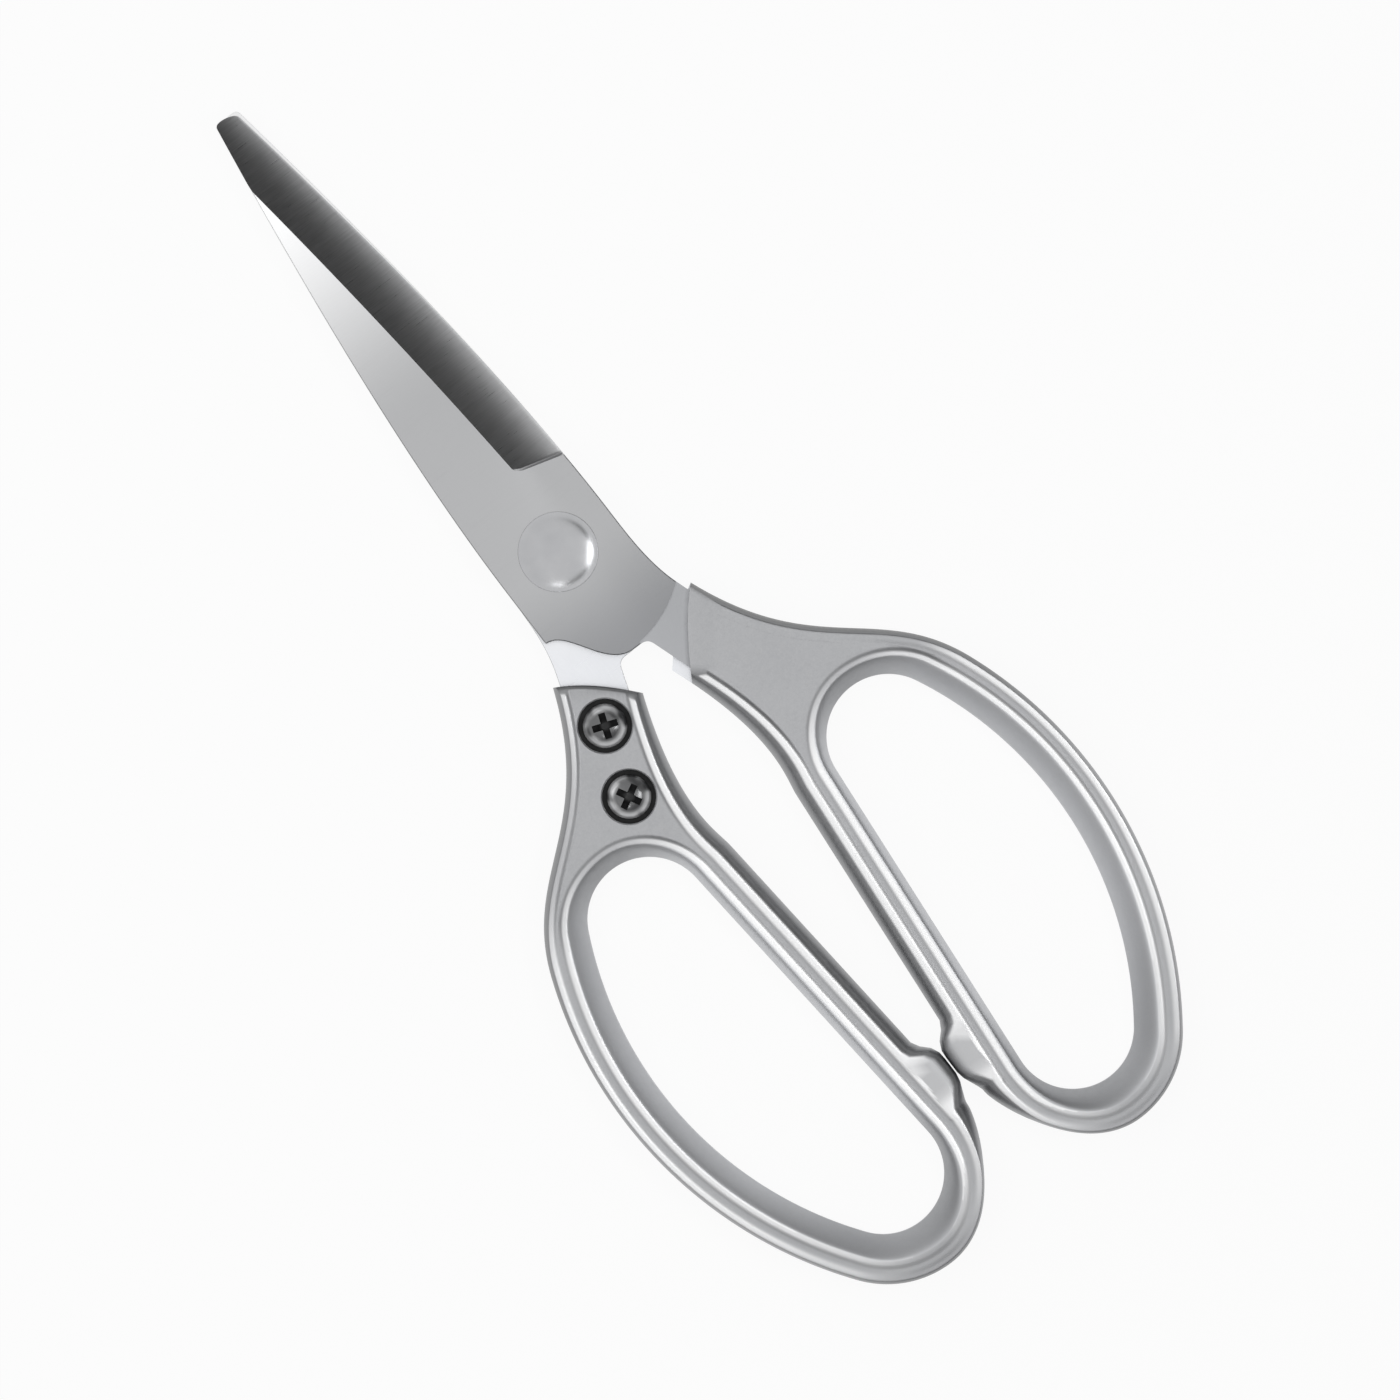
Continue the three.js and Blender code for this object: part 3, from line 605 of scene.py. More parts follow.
def neck_shares():
    """Where the neck's rows meet its outer side, which is slower at both ends, beside the finger opening."""
    even_shares = np.linspace(0, 1, NECK_COUNT, endpoint=False)
    return even_shares - NECK_ROW_SLOWING * np.sin(2 * math.pi * even_shares) / (2 * math.pi)


def handle_rails():
    """Matching rows of points round the finger opening and round the outside of the handle."""
    up = point(math.sin(OPENING_TILT), math.cos(OPENING_TILT))
    inward = point(up[1], -up[0])
    side = point(OPENING_NEAR_X, OPENING_Y)
    centre = point(OPENING_FAR_X - OPENING_ARC_RADIUS, OPENING_Y)

    def round_end(radius, sign):
        offset = side + inward * radius - centre
        along = offset @ up
        reach = along ** 2 - offset @ offset + (OPENING_ARC_RADIUS - radius) ** 2
        return centre + offset + up * (sign * math.sqrt(reach) - along)

    def angle_of(direction):
        return math.atan2(direction[1], direction[0]) % (2 * math.pi)

    top = round_end(OPENING_TOP_RADIUS, 1)
    bottom = round_end(OPENING_BOTTOM_RADIUS, -1)
    straight_angle = angle_of(-inward)
    low_angle = angle_of(bottom - centre) - 2 * math.pi
    high_angle = angle_of(top - centre)
    neck_angle = high_angle - NECK_BLEND
    side_top = top - inward * OPENING_TOP_RADIUS
    side_bottom = bottom - inward * OPENING_BOTTOM_RADIUS

    inner_bow = np.concatenate([
        even(np.array([side_top, side_bottom]), SIDE_COUNT),
        even(arc(bottom, OPENING_BOTTOM_RADIUS, straight_angle, low_angle + 2 * math.pi), BOTTOM_COUNT),
        even(arc(centre, OPENING_ARC_RADIUS, low_angle, neck_angle), ARC_COUNT),
    ])
    arc_end = arc(centre, OPENING_ARC_RADIUS, neck_angle, high_angle)
    top_round = arc(top, OPENING_TOP_RADIUS, high_angle, straight_angle)
    inner_neck = even(np.concatenate([arc_end, top_round]), NECK_COUNT)
    inner = np.concatenate([inner_bow, inner_neck])
    normals = left_normals(inner)
    low = np.maximum(normals[:, 1], 0)
    corner = np.maximum(normals[:, 0], 0) ** 2 * low * math.sqrt(27) / 2
    width = mix(RIM_WIDTH, RIM_BOTTOM_WIDTH, low ** 2) - RIM_CORNER_THINNING * corner
    bow_count = len(inner_bow)
    outer_bow = inner_bow - normals[:bow_count] * width[:bow_count, None]

    lean = heading(math.pi / 2 + NECK_LEAN)
    bow_out = heading(neck_angle)
    bow_on = point(-bow_out[1], bow_out[0])
    outer_start = centre + bow_out * (OPENING_ARC_RADIUS + RIM_WIDTH)
    outer_corner, inner_corner = point(*NECK_OUTER), point(*NECK_INNER)
    inner_end = side_top - inward * RIM_WIDTH
    outer_spare = outer_corner + lean * NECK_SPARE
    inner_spare = inner_corner + lean * NECK_SPARE
    spare_round = lean * NECK_SPARE_ROUND
    bow_aim = outer_start + bow_on * NECK_OUTER_ROUND
    outer_side = bezier(outer_start, bow_aim, outer_corner - lean * NECK_OUTER_SWEEP, outer_corner)
    past_end = bezier(outer_spare, outer_spare + spare_round, inner_spare + spare_round, inner_spare)
    side_aim = inner_end + up * NECK_INNER_ROUND
    inner_side = bezier(inner_corner, inner_corner - lean * NECK_INNER_SWEEP, side_aim, inner_end)
    outer_neck = spaced(np.concatenate([outer_side, past_end, inner_side]), neck_shares())
    return inner, normals, np.concatenate([outer_bow, outer_neck]), bow_count


def with_stop(outer):
    """The outer rail with the nub that meets the other handle: the wall swells out to a flat face."""
    face, top, low = STOP_GAP / 2, STOP_Y + STOP_HALF_LENGTH, STOP_Y - STOP_HALF_LENGTH
    x, y = outer.T
    above = np.clip((y - top) / STOP_FLANK, 0, 1)
    nub = face + STOP_HOLLOW * above ** STOP_HOLLOW_BEND + STOP_LOW_SLOPE * np.maximum(low - y, 0)
    swollen = (x + nub - np.sqrt((x - nub) ** 2 + STOP_BLEND ** 2)) / 2
    near = (x < STOP_REACH_X) & (y > STOP_Y - STOP_REACH_Y) & (y < top + STOP_FLANK)
    return np.column_stack([np.where(near, np.maximum(swollen, face), x), y])


def nub_shares(outer):
    """How far each row of points belongs to the nub."""
    return smooth(np.linalg.norm(with_stop(outer) - outer, axis=1), *STOP_SWELL)


def handle_widths():
    """Row by row: share of the neck, widths of slope, flank and outer wall, and rise of both outer beads."""
    inner, inner_normals, outer, bow_count = handle_rails()
    x, y = inner_normals.T
    slope = x * x * np.where(x > 0, SLOPE_STRAIGHT, SLOPE_ARC)
    slope += y * y * np.where(y > 0, SLOPE_BOTTOM, SLOPE_TOP)
    beads = slope + 2 * BEAD_FLANK + GROOVE_FLAT
    spare = np.linalg.norm(inner - outer, axis=1) - RIM_LEAST_WALL
    ratio = spare / beads
    squeeze = (1 + ratio - np.sqrt((1 - ratio) ** 2 + RIM_SQUEEZE_BLEND)) / 2
    wall = spare + RIM_LEAST_WALL - squeeze * beads
    share = np.concatenate([np.zeros(bow_count), neck_shares()])
    in_neck = np.arange(len(inner)) >= bow_count
    neck_wall = mix(wall[bow_count - 1], NECK_WALL, smooth(share, *NECK_WALL_IN))
    wall = np.where(in_neck, mix(neck_wall, wall[0], smooth(share, *NECK_WALL_OUT)), wall)
    bead_share = 1 - smooth(share, *NECK_BEAD_OUT) + smooth(share, *NECK_BEAD_IN)
    rises = [BEAD_RISE * mix(left, 1, bead_share) for left in (NECK_BEAD_SHARE, NECK_SCREW_BEAD_SHARE)]
    return share, slope * squeeze, BEAD_FLANK * squeeze, wall, rises


def handle_skin(name, material):
    """Neck and finger bow with both beads, the groove between them, and the slope to the opening."""
    inner, inner_normals, outer, _ = handle_rails()
    outer_normals = left_normals(outer)
    share, slope, flank, wall, rises = handle_widths()
    count = len(inner)
    in_panel = smooth(share, *NECK_PANEL_IN) * (1 - smooth(share, *NECK_PANEL_OUT))
    low = np.maximum(inner_normals[:, 1], 0) ** 2
    floor = mix(bead_level - GROOVE_DEPTH * (1 - GROOVE_BOTTOM_FADE * low), panel_level, in_panel)

    def outer_at(inset, z):
        return np.column_stack([outer + outer_normals * inset[:, None], np.broadcast_to(z, count)])

    def inner_at(inset, z):
        return np.column_stack([inner - inner_normals * inset[:, None], np.broadcast_to(z, count)])

    fullness = mix(1, NUB_FULLNESS, nub_shares(outer))
    foot = level(with_stop(outer), 0)
    half_crest = flank * CREST_SHARE
    crest = outer_at(wall - half_crest, 0)

    def face(top):
        rows = []
        for turn in np.linspace(0, 90, WALL_ROWS)[1:] * degrees:
            row = mix(foot, crest, 1 - math.cos(turn) ** fullness[:, None])
            row[:, 2] = top * math.sin(turn) ** fullness
            rows.append(row)
        rows.append(outer_at(wall, top))
        for step in np.linspace(0, 1, FLANK_ROWS):
            height = mix(floor, top, (1 + math.cos(math.pi * step)) / 2)
            rows.append(outer_at(wall + mix(half_crest, flank, step), height))
        outer_foot = rows[-1]
        inner_foot = inner_at(slope + flank, floor)
        rows += [mix(outer_foot, inner_foot, step) for step in GROOVE_ROWS]
        for step in np.linspace(0, 1, FLANK_ROWS)[1:]:
            height = mix(floor, bead_level, (1 - math.cos(math.pi * step)) / 2)
            rows.append(inner_at(slope + mix(flank, half_crest, step), height))
        rows.append(inner_at(slope, bead_level))
        edge = RIM_EDGE_HEIGHT / 2
        bend = mix(SLOPE_ROUND, SLOPE_STRAIGHT_ROUND, np.maximum(inner_normals[:, 0], 0) ** 2)
        for step in np.linspace(1, 0, SLOPE_ROWS):
            rows.append(inner_at((slope - half_crest) * step, mix(edge, bead_level, 1 - (1 - step) ** bend)))
        rows.append(inner_at(slope * 0, edge * RIM_EDGE_ROW))
        return rows

    tops = [panel_level + rise * (1 - OUTER_BEAD_FADE * outer_normals[:, 1] ** 2) for rise in rises]
    upper, under = (face(top) for top in tops)
    lower = [row * point(1, 1, -1) for row in under[::-1]]
    loops = np.array([foot, *upper, *lower]).transpose(1, 0, 2)
    faces = ring_faces(count, loops.shape[1])
    return solid(name, loops.reshape(-1, 3), faces, material)


def slot_tool():
    """The slot that the tang lies in, open at the neck's end."""
    near, far = -TANG_INNER - TANG_FIT, TANG_OUTER + TANG_FIT
    rounded_end = tang_end(near, far, TANG_END + TANG_FIT, SLOT_CORNER_COUNT)
    path = np.concatenate([[on_tang(near, -FAR_PAST)], rounded_end, [on_tang(far, -FAR_PAST)]])
    return stack("slot_tool", [level(path, slot_floor), level(path, slot_roof)])


def lip_tool(number, material):
    """The rounded rim of a counterbore."""
    lip, radius = COUNTERBORE_LIP, COUNTERBORE_RADIUS
    past = radius + lip * COUNTERBORE_LIP_REACH
    profile = [(past, -CLEAR_PAST), (past, -panel_level - COUNTERBORE_OVERLAP)]
    for turn in np.linspace(COUNTERBORE_LIP_TURN, 0, LIP_ROWS) * degrees:
        profile.append((radius + lip * (1 - math.cos(turn)), lip * (1 - math.sin(turn)) - panel_level))
    profile.append((radius, lip + COUNTERBORE_LIP_WALL - panel_level))
    return lathe("lip", profile, material, place=screw_place(number))


def counterbore_tool(number, material):
    """The counterbore below its rim, and the hole for the screw's shank."""
    radius, shank = COUNTERBORE_RADIUS - COUNTERBORE_INSET, SCREW_RADIUS + SCREW_WALL_FIT
    through = slot_floor + COUNTERBORE_OVERLAP
    profile = [(radius, -CLEAR_PAST), (radius, screw_seat), (shank, screw_seat), (shank, through)]
    return lathe("counterbore", profile, material, place=screw_place(number))


def handle(name, cast, black, seat):
    """A casting with its beads, slot, counterbores painted near-black as shade, and a machined seat for the
    tang whose bright finish is partly painted light.
    """
    body = handle_skin(name, cast)
    cut(body, end_tool("end", NECK_INNER[1], -CLEAR_PAST / 2, -1, rounded_edge, cast))
    cut(body, end_tool("thin_end", NECK_INNER[1] - NECK_CUTBACK, slot_floor, 1, ramped_edge, cast, seat))
    cut(body, slot_tool())
    for number in (0, 1):
        cut(body, lip_tool(number, cast))
        # the counterbore's faces take near-black paint that stands in for its shade
        cut(body, counterbore_tool(number, black))
    mark_walls(body)
    return body


def points_of(body):
    return np.array([vertex.co for vertex in body.data.vertices]) / MM


def mark(body, name, values):
    """Keeps a value for each point, for the materials to read."""
    marks = body.data.attributes.new(name, "FLOAT", "POINT")
    marks.data.foreach_set("value", np.ascontiguousarray(values, np.float32))


def distances(places, path):
    """Distance of each place from the nearest point of a path, and that point's number."""
    found = [np.linalg.norm(path - place, axis=1) for place in places]
    return np.array([row.min() for row in found]), np.array([row.argmin() for row in found])


# Painted shade on the casting's walls and slopes, and painted highlight on its polished beads, from 0 to 1
BOW_DARKNESS = 0.2  # painted shade on the outer wall round the bow; the straight side's has 1
BOTTOM_DARKNESS = 0.85  # painted shade at the bow's bottom
DARK_WALL_REACH = 1.8  # in millimetres
DARK_WALL_FADE = (0.2, 1.05)  # shares of that reach
DARK_WALL_SCREW_SHARE = 0.5  # of that painted shade, what is left on the screws' side
END_DARKNESS = 0.5  # painted shade on the rounded edge of the neck's end
END_FADE = (0.3, 1.2)  # shares of its reach
NECK_DARK_ROWS = 40  # over which it fades in before the neck
# Painted highlight on the beads' polished crests
BEAD_PAINTED_HIGHLIGHT = 0.85
NUB_PAINTED_HIGHLIGHT = 0.2
NECK_PAINTED_HIGHLIGHT = 0.45
TOP_PAINTED_HIGHLIGHT = 0.1  # painted highlight on the inner bead at the top of the opening
SLOPE_FADE = (-0.25, 0.05)  # millimetres from the inner bead's edge
FOOT_SHADE_Y = (-95, -113)  # where the painted shade at the foot of the opening begins and is full
FOOT_SHADE_X = (10, 24)  # where it changes from its near to its far strength
FOOT_SHADE_NEAR = 0.9
FOOT_SHADE_FAR = 0.35


def mark_walls(body):
    """Marks on each point how far it belongs to the outer wall and the slope, the painted shade on them, and
    the painted highlight on the polished beads.
    """
    inner, inner_normals, outer, bow_count = handle_rails()
    points = points_of(body)
    _, slope, flank, wall, _ = handle_widths()
    outer_normals = left_normals(outer)
    fading = smooth(np.arange(-bow_count, 0), -NECK_DARK_ROWS, 0)
    straight = np.concatenate([fading, 1 - smooth(neck_shares(), *NECK_BEAD_IN)])
    bottom = np.maximum(outer_normals[:, 1], 0) ** 2
    # painted shade on the outer wall, by which way the wall faces
    wall_painted_shade = np.maximum(mix(BOW_DARKNESS, 1, straight), BOTTOM_DARKNESS * bottom)
    outer_away, nearest = distances(points[:, :2], with_stop(outer))
    on_screw_side = straight[nearest] * (points[:, 2] < 0)
    reach = np.minimum(wall[nearest], DARK_WALL_REACH)
    side = (1 - smooth(outer_away / reach, *DARK_WALL_FADE)) * wall_painted_shade[nearest]
    side *= mix(1, DARK_WALL_SCREW_SHARE, on_screw_side)
    # painted highlight on the outer bead where it faces the side lights, and beside the neck on the screws'
    # side
    outer_painted_highlight = outer_normals[:, 0] ** 2 * mix(BEAD_PAINTED_HIGHLIGHT, NUB_PAINTED_HIGHLIGHT, nub_shares(outer))
    outer_painted_highlight = np.maximum(outer_painted_highlight[nearest], NECK_PAINTED_HIGHLIGHT * on_screw_side)
    end_away, _ = distances(points[:, :2], even(neck_end(NECK_INNER[1])[1:-1], END_MARK_COUNT))
    # painted shade on the rounded edge of the neck's end
    end = END_DARKNESS * (1 - smooth(end_away / NECK_END_REACH, *END_FADE)) * (points[:, 2] < slot_floor)
    inner_away, nearest = distances(points[:, :2], inner)
    crest_edge = (slope - flank * CREST_SHARE)[nearest]
    on_slope = 1 - smooth(inner_away - crest_edge, *SLOPE_FADE)
    x, y = inner_normals[nearest].T
    # painted highlight on the inner bead, strong where it faces the sides or the bottom, weak at the top
    inner_painted_highlight = x * x + y * y * np.where(y > 0, BEAD_PAINTED_HIGHLIGHT, TOP_PAINTED_HIGHLIGHT)
    # painted shade at the opening's foot
    foot = smooth(points[:, 1], *FOOT_SHADE_Y)
    foot *= mix(FOOT_SHADE_NEAR, FOOT_SHADE_FAR, smooth(points[:, 0], *FOOT_SHADE_X))
    # side: painted shade on the outer wall and on the neck's end
    mark(body, "side", np.maximum(side, end))
    mark(body, "slope", on_slope)
    # painted shade on the slope where it faces the top and at the opening's foot
    mark(body, "slope_shade", on_slope * np.maximum(np.minimum(y, 0) ** 2, foot))
    mark(body, "painted_highlight", np.where(outer_away < inner_away, outer_painted_highlight, inner_painted_highlight))


# Screws, rivet and washer


def recess_tool(material):
    """Cross recess with tapered wings."""
    half, width = RECESS_LENGTH / 2, RECESS_WIDTH / 2
    loops = []
    for depth, share in RECESS_TAPER:
        wide = width * mix(RECESS_TIP_WIDTH, 1, share)
        long = max(half * share, wide * RECESS_LEAST_LENGTH)
        corners = []
        for turn in range(4):
            c, s = math.cos(turn * math.pi / 2), math.sin(turn * math.pi / 2)
            for a, b in ((wide, -wide), (long, -wide), (long, wide)):
                corners.append((c * a - s * b, s * a + c * b))
        loops.append(level(np.array(corners), SCREW_HEAD_HEIGHT - depth))
    return stack("recess", loops, material)


def screw(name, black, worn, turn):
    """Pan head screw standing on z = 0 with its head up."""
    shank = tang_face - SCREW_END_GAP - screw_seat + SCREW_SEAT_GAP
    crown = SCREW_HEAD_HEIGHT - SCREW_HEAD_WALL
    radius, chamfer, head, edge = SCREW_RADIUS, SCREW_TIP_CHAMFER, SCREW_HEAD_RADIUS, SCREW_HEAD_EDGE
    profile = [(0, -shank), (radius - chamfer, -shank), (radius, chamfer - shank), (radius, 0)]
    profile += [(head - edge, 0), (head, edge)]
    for angle in np.linspace(0, 90, CROWN_ROWS) * degrees:
        profile.append((head * math.cos(angle), SCREW_HEAD_WALL + crown * math.sin(angle)))
    body = lathe(name, profile, black)
    cut(body, recess_tool(worn))
    points = points_of(body)
    # painted highlight on the head's rim
    rim = smooth(np.hypot(points[:, 0], points[:, 1]), *SCREW_PAINTED_GLINT_RADIUS)
    mark(body, "rim", rim * (points[:, 2] > SCREW_HEAD_WALL))
    body.data.transform(Matrix.Rotation(turn * degrees, 4, "Z"))
    return body


def rivet(name, material):
    """A pin with a low dome on the front blade and a flat foot at the back."""
    head = outer_face + RIVET_FACE_GAP
    foot = -outer_face - 2 * RIVET_FACE_GAP - WASHER_THICKNESS - WASHER_DISH
    radius, base = RIVET_FOOT_RADIUS, -bead_level
    profile = [(0, base), (radius - RIVET_FOOT_EDGE, base)]
    profile += rounded((0, base), (radius, base), (radius, 0), RIVET_FOOT_EDGE)
    profile += [(radius, foot), (PIN_RADIUS, foot), (PIN_RADIUS, head)]
    radii = np.linspace(RIVET_HEAD_RADIUS, 0, DOME_ROWS)
    rising = RIVET_SHOULDER_SLOPE * np.minimum(radii / RIVET_SHOULDER, 1) ** RIVET_SHOULDER_BEND
    slope = mix(rising, RIVET_RIM_SLOPE, smooth(radii, RIVET_SHOULDER, RIVET_HEAD_RADIUS))
    steps = -np.diff(radii) * (slope[1:] + slope[:-1]) / 2
    heights = head + RIVET_HEAD_EDGE + np.concatenate([[0], np.cumsum(steps)])
    cap = list(zip(radii, heights))
    profile.append((RIVET_HEAD_RADIUS, head))
    profile += rounded((RIVET_HEAD_RADIUS, head), cap[0], cap[2], RIVET_HEAD_EDGE / 2)
    profile += cap[2:]
    return lathe(name, profile, material)


def washer(name, material):
    """A dished ring under the rivet's foot."""
    bore = PIN_RADIUS + 2 * PIN_CLEARANCE
    near = -outer_face - RIVET_FACE_GAP
    far = near - WASHER_THICKNESS
    radius, edge, dish = WASHER_RADIUS, WASHER_EDGE, WASHER_DISH
    profile = [(bore, near - dish), (bore, far - dish), (radius - edge, far), (radius, far + edge)]
    profile += [(radius, near - edge), (radius - edge, near)]
    faces = ring_faces(len(profile), TURN_COUNT)
    return solid(name, np.concatenate(rings(profile)), faces, material)


# Materials


def grey(value, cool=0.0):
    """A grey, or a slightly bluish one."""
    return (value * (1 - cool), value * (1 - cool * 0.4), value * (1 + cool), 1)


class Nodes:
    """A node tree that grows one node at a time."""

    def __init__(self, owner):
        owner.use_nodes = True
        self.tree = owner.node_tree

    def add(self, kind, inputs=None, **settings):
        node = self.tree.nodes.new("ShaderNode" + kind)
        for key, value in settings.items():
            setattr(node, key, value)
        for key, value in (inputs or {}).items():
            self.feed(node.inputs[key], value)
        return node

    def feed(self, socket, value):
        if isinstance(value, bpy.types.NodeSocket):
            self.tree.links.new(value, socket)
        else:
            socket.default_value = value

    def math(self, operation, a, b=0.0):
        return self.add("Math", {0: a, 1: b}, operation=operation).outputs[0]


class Metal(Nodes):
    """A metal with its nodes."""

    def __init__(self, name, base, metallic, roughness):
        self.material = bpy.data.materials.new(name)
        super().__init__(self.material)
        self.shader = self.tree.nodes["Principled BSDF"]
        self.set(Base_Color=grey(base), Metallic=metallic, Roughness=roughness)
        self.place = self.add("TexCoord").outputs["Object"]

    def set(self, **sockets):
        for key, value in sockets.items():
            self.feed(self.shader.inputs[key.replace("_", " ")], value)

    def along(self, axis):
        return self.add("SeparateXYZ", {0: self.place}).outputs[axis]

    def mark(self, name):
        """A value that the mesh keeps for each point."""
        return self.add("Attribute", attribute_name=name).outputs["Fac"]

    def noise(self, scale, stretch=(1, 1, 1), turn=(0, 0, 0), detail=3.0, place=None):
        """Noise from about -0.5 to 0.5, in cycles per metre, stretched along the object's axes."""
        inputs = {"Vector": place or self.place, "Rotation": turn, "Scale": stretch}
        mapped = self.add("Mapping", inputs).outputs[0]
        inputs = {"Vector": mapped, "Scale": scale, "Detail": detail}
        return self.math("SUBTRACT", self.add("TexNoise", inputs).outputs[0], 0.5)

    def total(self, start, *parts):
        """A value plus others, each times its share."""
        for value, share in parts:
            start = self.math("ADD", self.math("MULTIPLY", value, share), start)
        return start

    def ramp(self, value, low, high, to_low=0.0, to_high=1.0):
        inputs = {"Value": value, "From Min": low, "From Max": high, "To Min": to_low, "To Max": to_high}
        return self.add("MapRange", inputs, interpolation_type="SMOOTHSTEP").outputs[0]

    def blend(self, share, a, b):
        return self.add("Mix", data_type="RGBA", inputs={0: share, 6: a, 7: b}).outputs[2]

    def bump(self, height, depth):
        """Depth is in millimetres for a height of 1."""
        self.set(Normal=self.add("Bump", {"Height": height, "Distance": depth * MM}).outputs[0])


BELT_LINES = (260, 9000, 260)  # cycles per metre along each axis
TIP_GLARE = (30 * MM, 76 * MM)  # where painted light brightens the outer face towards the tip
GRIND_GLARE = (55 * MM, 5 * MM)  # where painted light brightens the grind towards the heel


def satin_steel(name, base, heel, tip, roughness, stretch=BELT_LINES, depth=0.0025):
    """Belt-ground stainless steel: fine lines across, smudges and scratches, painted shade at the heel and
    painted light towards the tip.
    """
    metal = Metal(name, base, 1.0, roughness)
    lines = metal.noise(1.0, stretch)
    smudge = metal.noise(70.0)
    scratched = metal.ramp(metal.noise(1.0, (60, 5200, 60), (0, 0, 0.6), detail=1.0), 0.21, 0.26)
    tone = metal.ramp(metal.total(0.0, (lines, 0.5), (smudge, 0.5)), -0.3, 0.3)
    along = metal.along("Y")
    # painted shade darkens the heel and painted light brightens the outer face towards the tip
    painted_shade_and_light = metal.blend(metal.ramp(along, HEEL_Y * MM, 0.0), grey(heel, 0.026), grey(base, 0.012))
    painted_shade_and_light = metal.blend(metal.ramp(along, *TIP_GLARE), painted_shade_and_light, grey(tip, 0.004))
    colour = metal.blend(metal.ramp(tone, 0.0, 1.0, 0.07, 0.0), painted_shade_and_light, grey(0.1))
    rough = metal.total(roughness, (lines, 0.12), (smudge, 0.10), (scratched, 0.06))
    metal.set(Base_Color=colour, Roughness=rough, Anisotropic=0.35)
    metal.bump(metal.total(lines, (scratched, -0.6)), depth)
    return metal.material


def ground_steel(name, base, roughness):
    """Hollow grind: wheel marks across the bevel, with painted light brightening it towards the heel."""
    metal = Metal(name, base, 1.0, roughness)
    lines = metal.noise(1.0, (160, 6500, 160), (0, 0, -0.08))
    fine = metal.noise(1.0, (500, 16000, 500), (0, 0, -0.08), detail=2.0)
    marks = metal.total(lines, (fine, 0.6))
    colour = metal.blend(metal.ramp(marks, -0.35, 0.35), grey(base * 0.86, 0.01), grey(base * 1.08, 0.01))
    # painted light brightens the grind towards the heel
    heel_painted_light = metal.ramp(metal.along("Y"), *GRIND_GLARE, 0.0, 0.35)
    colour = metal.blend(heel_painted_light, colour, grey(1.7 * base, 0.01))
    metal.set(Base_Color=colour, Roughness=metal.total(roughness, (marks, 0.10)))
    metal.bump(marks, 0.002)
    return metal.material


CREST_POLISH_AND_HIGHLIGHT = (0.78, 0.004)  # greys of the casting, with how cool they are: the polished crest with its painted highlight, the slope, and the painted shade on the slope and the outer wall
SLOPE = (0.64, 0.02)
SLOPE_SHADE = (0.38, 0.02)
WALL_PAINTED_SHADE = (0.17, 0.01)
CREST_ROUGHNESS = 0.36


def cast_alloy(name, base, roughness):
    """Cast light alloy: blasted grain on the flats, polished beads with painted highlights, smoother slopes
    with painted shade, and painted shade on the outer walls.
    """
    metal = Metal(name, base, 1.0, roughness)
    from_middle = metal.math("ABSOLUTE", metal.math("SUBTRACT", metal.along("Z"), bead_level * MM))
    side, slope, shade, painted_highlight = (metal.mark(key) for key in ("side", "slope", "slope_shade", "painted_highlight"))
    # the polished crest takes the painted highlight mark; the wall and slope marks carry painted shade
    high = metal.ramp(from_middle, (bead_level - 0.15) * MM, (bead_level - 0.01) * MM)
    polish_and_painted_highlight = metal.math("MULTIPLY", high, painted_highlight)
    grain = metal.noise(3200.0)
    coarse = metal.noise(1100.0, detail=2.0)
    patch = metal.noise(90.0)
    smoothed = metal.ramp(from_middle, (bead_level - 0.28) * MM, (bead_level - 0.1) * MM, 1.0, 0.15)
    blasted = metal.math("MULTIPLY", metal.total(grain, (coarse, 0.8)), smoothed)
    tone = metal.ramp(metal.total(0.0, (blasted, 0.55), (patch, 0.45)), -0.32, 0.32)
    colour = metal.blend(tone, grey(base * 0.86, 0.022), grey(base * 1.10, 0.016))
    for share, other in ((polish_and_painted_highlight, CREST_POLISH_AND_HIGHLIGHT), (slope, SLOPE), (shade, SLOPE_SHADE), (side, WALL_PAINTED_SHADE)):
        colour = metal.blend(share, colour, grey(*other))
    worn = CREST_ROUGHNESS - roughness
    rough = metal.total(roughness, (blasted, 0.14), (patch, 0.08), (polish_and_painted_highlight, worn), (slope, 0.08))
    metal.set(Base_Color=colour, Roughness=rough)
    metal.bump(blasted, 0.011)
    return metal.material


def black_oxide(name, base, roughness, wear, oil=0.0):
    """Black steel, oiled or dry, rubbed brighter where it is touched, with patches of painted highlight on a
    screw head's rim.
    """
    metal = Metal(name, base, 0.55, roughness)
    pits = metal.noise(2600.0)
    worn = metal.ramp(metal.noise(420.0, detail=4.0), 0.02, 0.32, 0.0, wear)
    colour = metal.blend(worn, grey(base, 0.02), grey(0.30, 0.01))
    # patches of painted highlight on the screw head's rim
    painted_glints = metal.ramp(metal.noise(300.0, detail=1.0), -0.14, 0.06)
    colour = metal.blend(metal.math("MULTIPLY", metal.mark("rim"), painted_glints), colour, grey(0.95, 0.01))
    rough = metal.total(roughness, (pits, 0.18))
    metal.set(Base_Color=colour, Roughness=rough, Coat_Weight=oil, Coat_Roughness=0.12)
    metal.bump(pits, 0.006)
    return metal.material


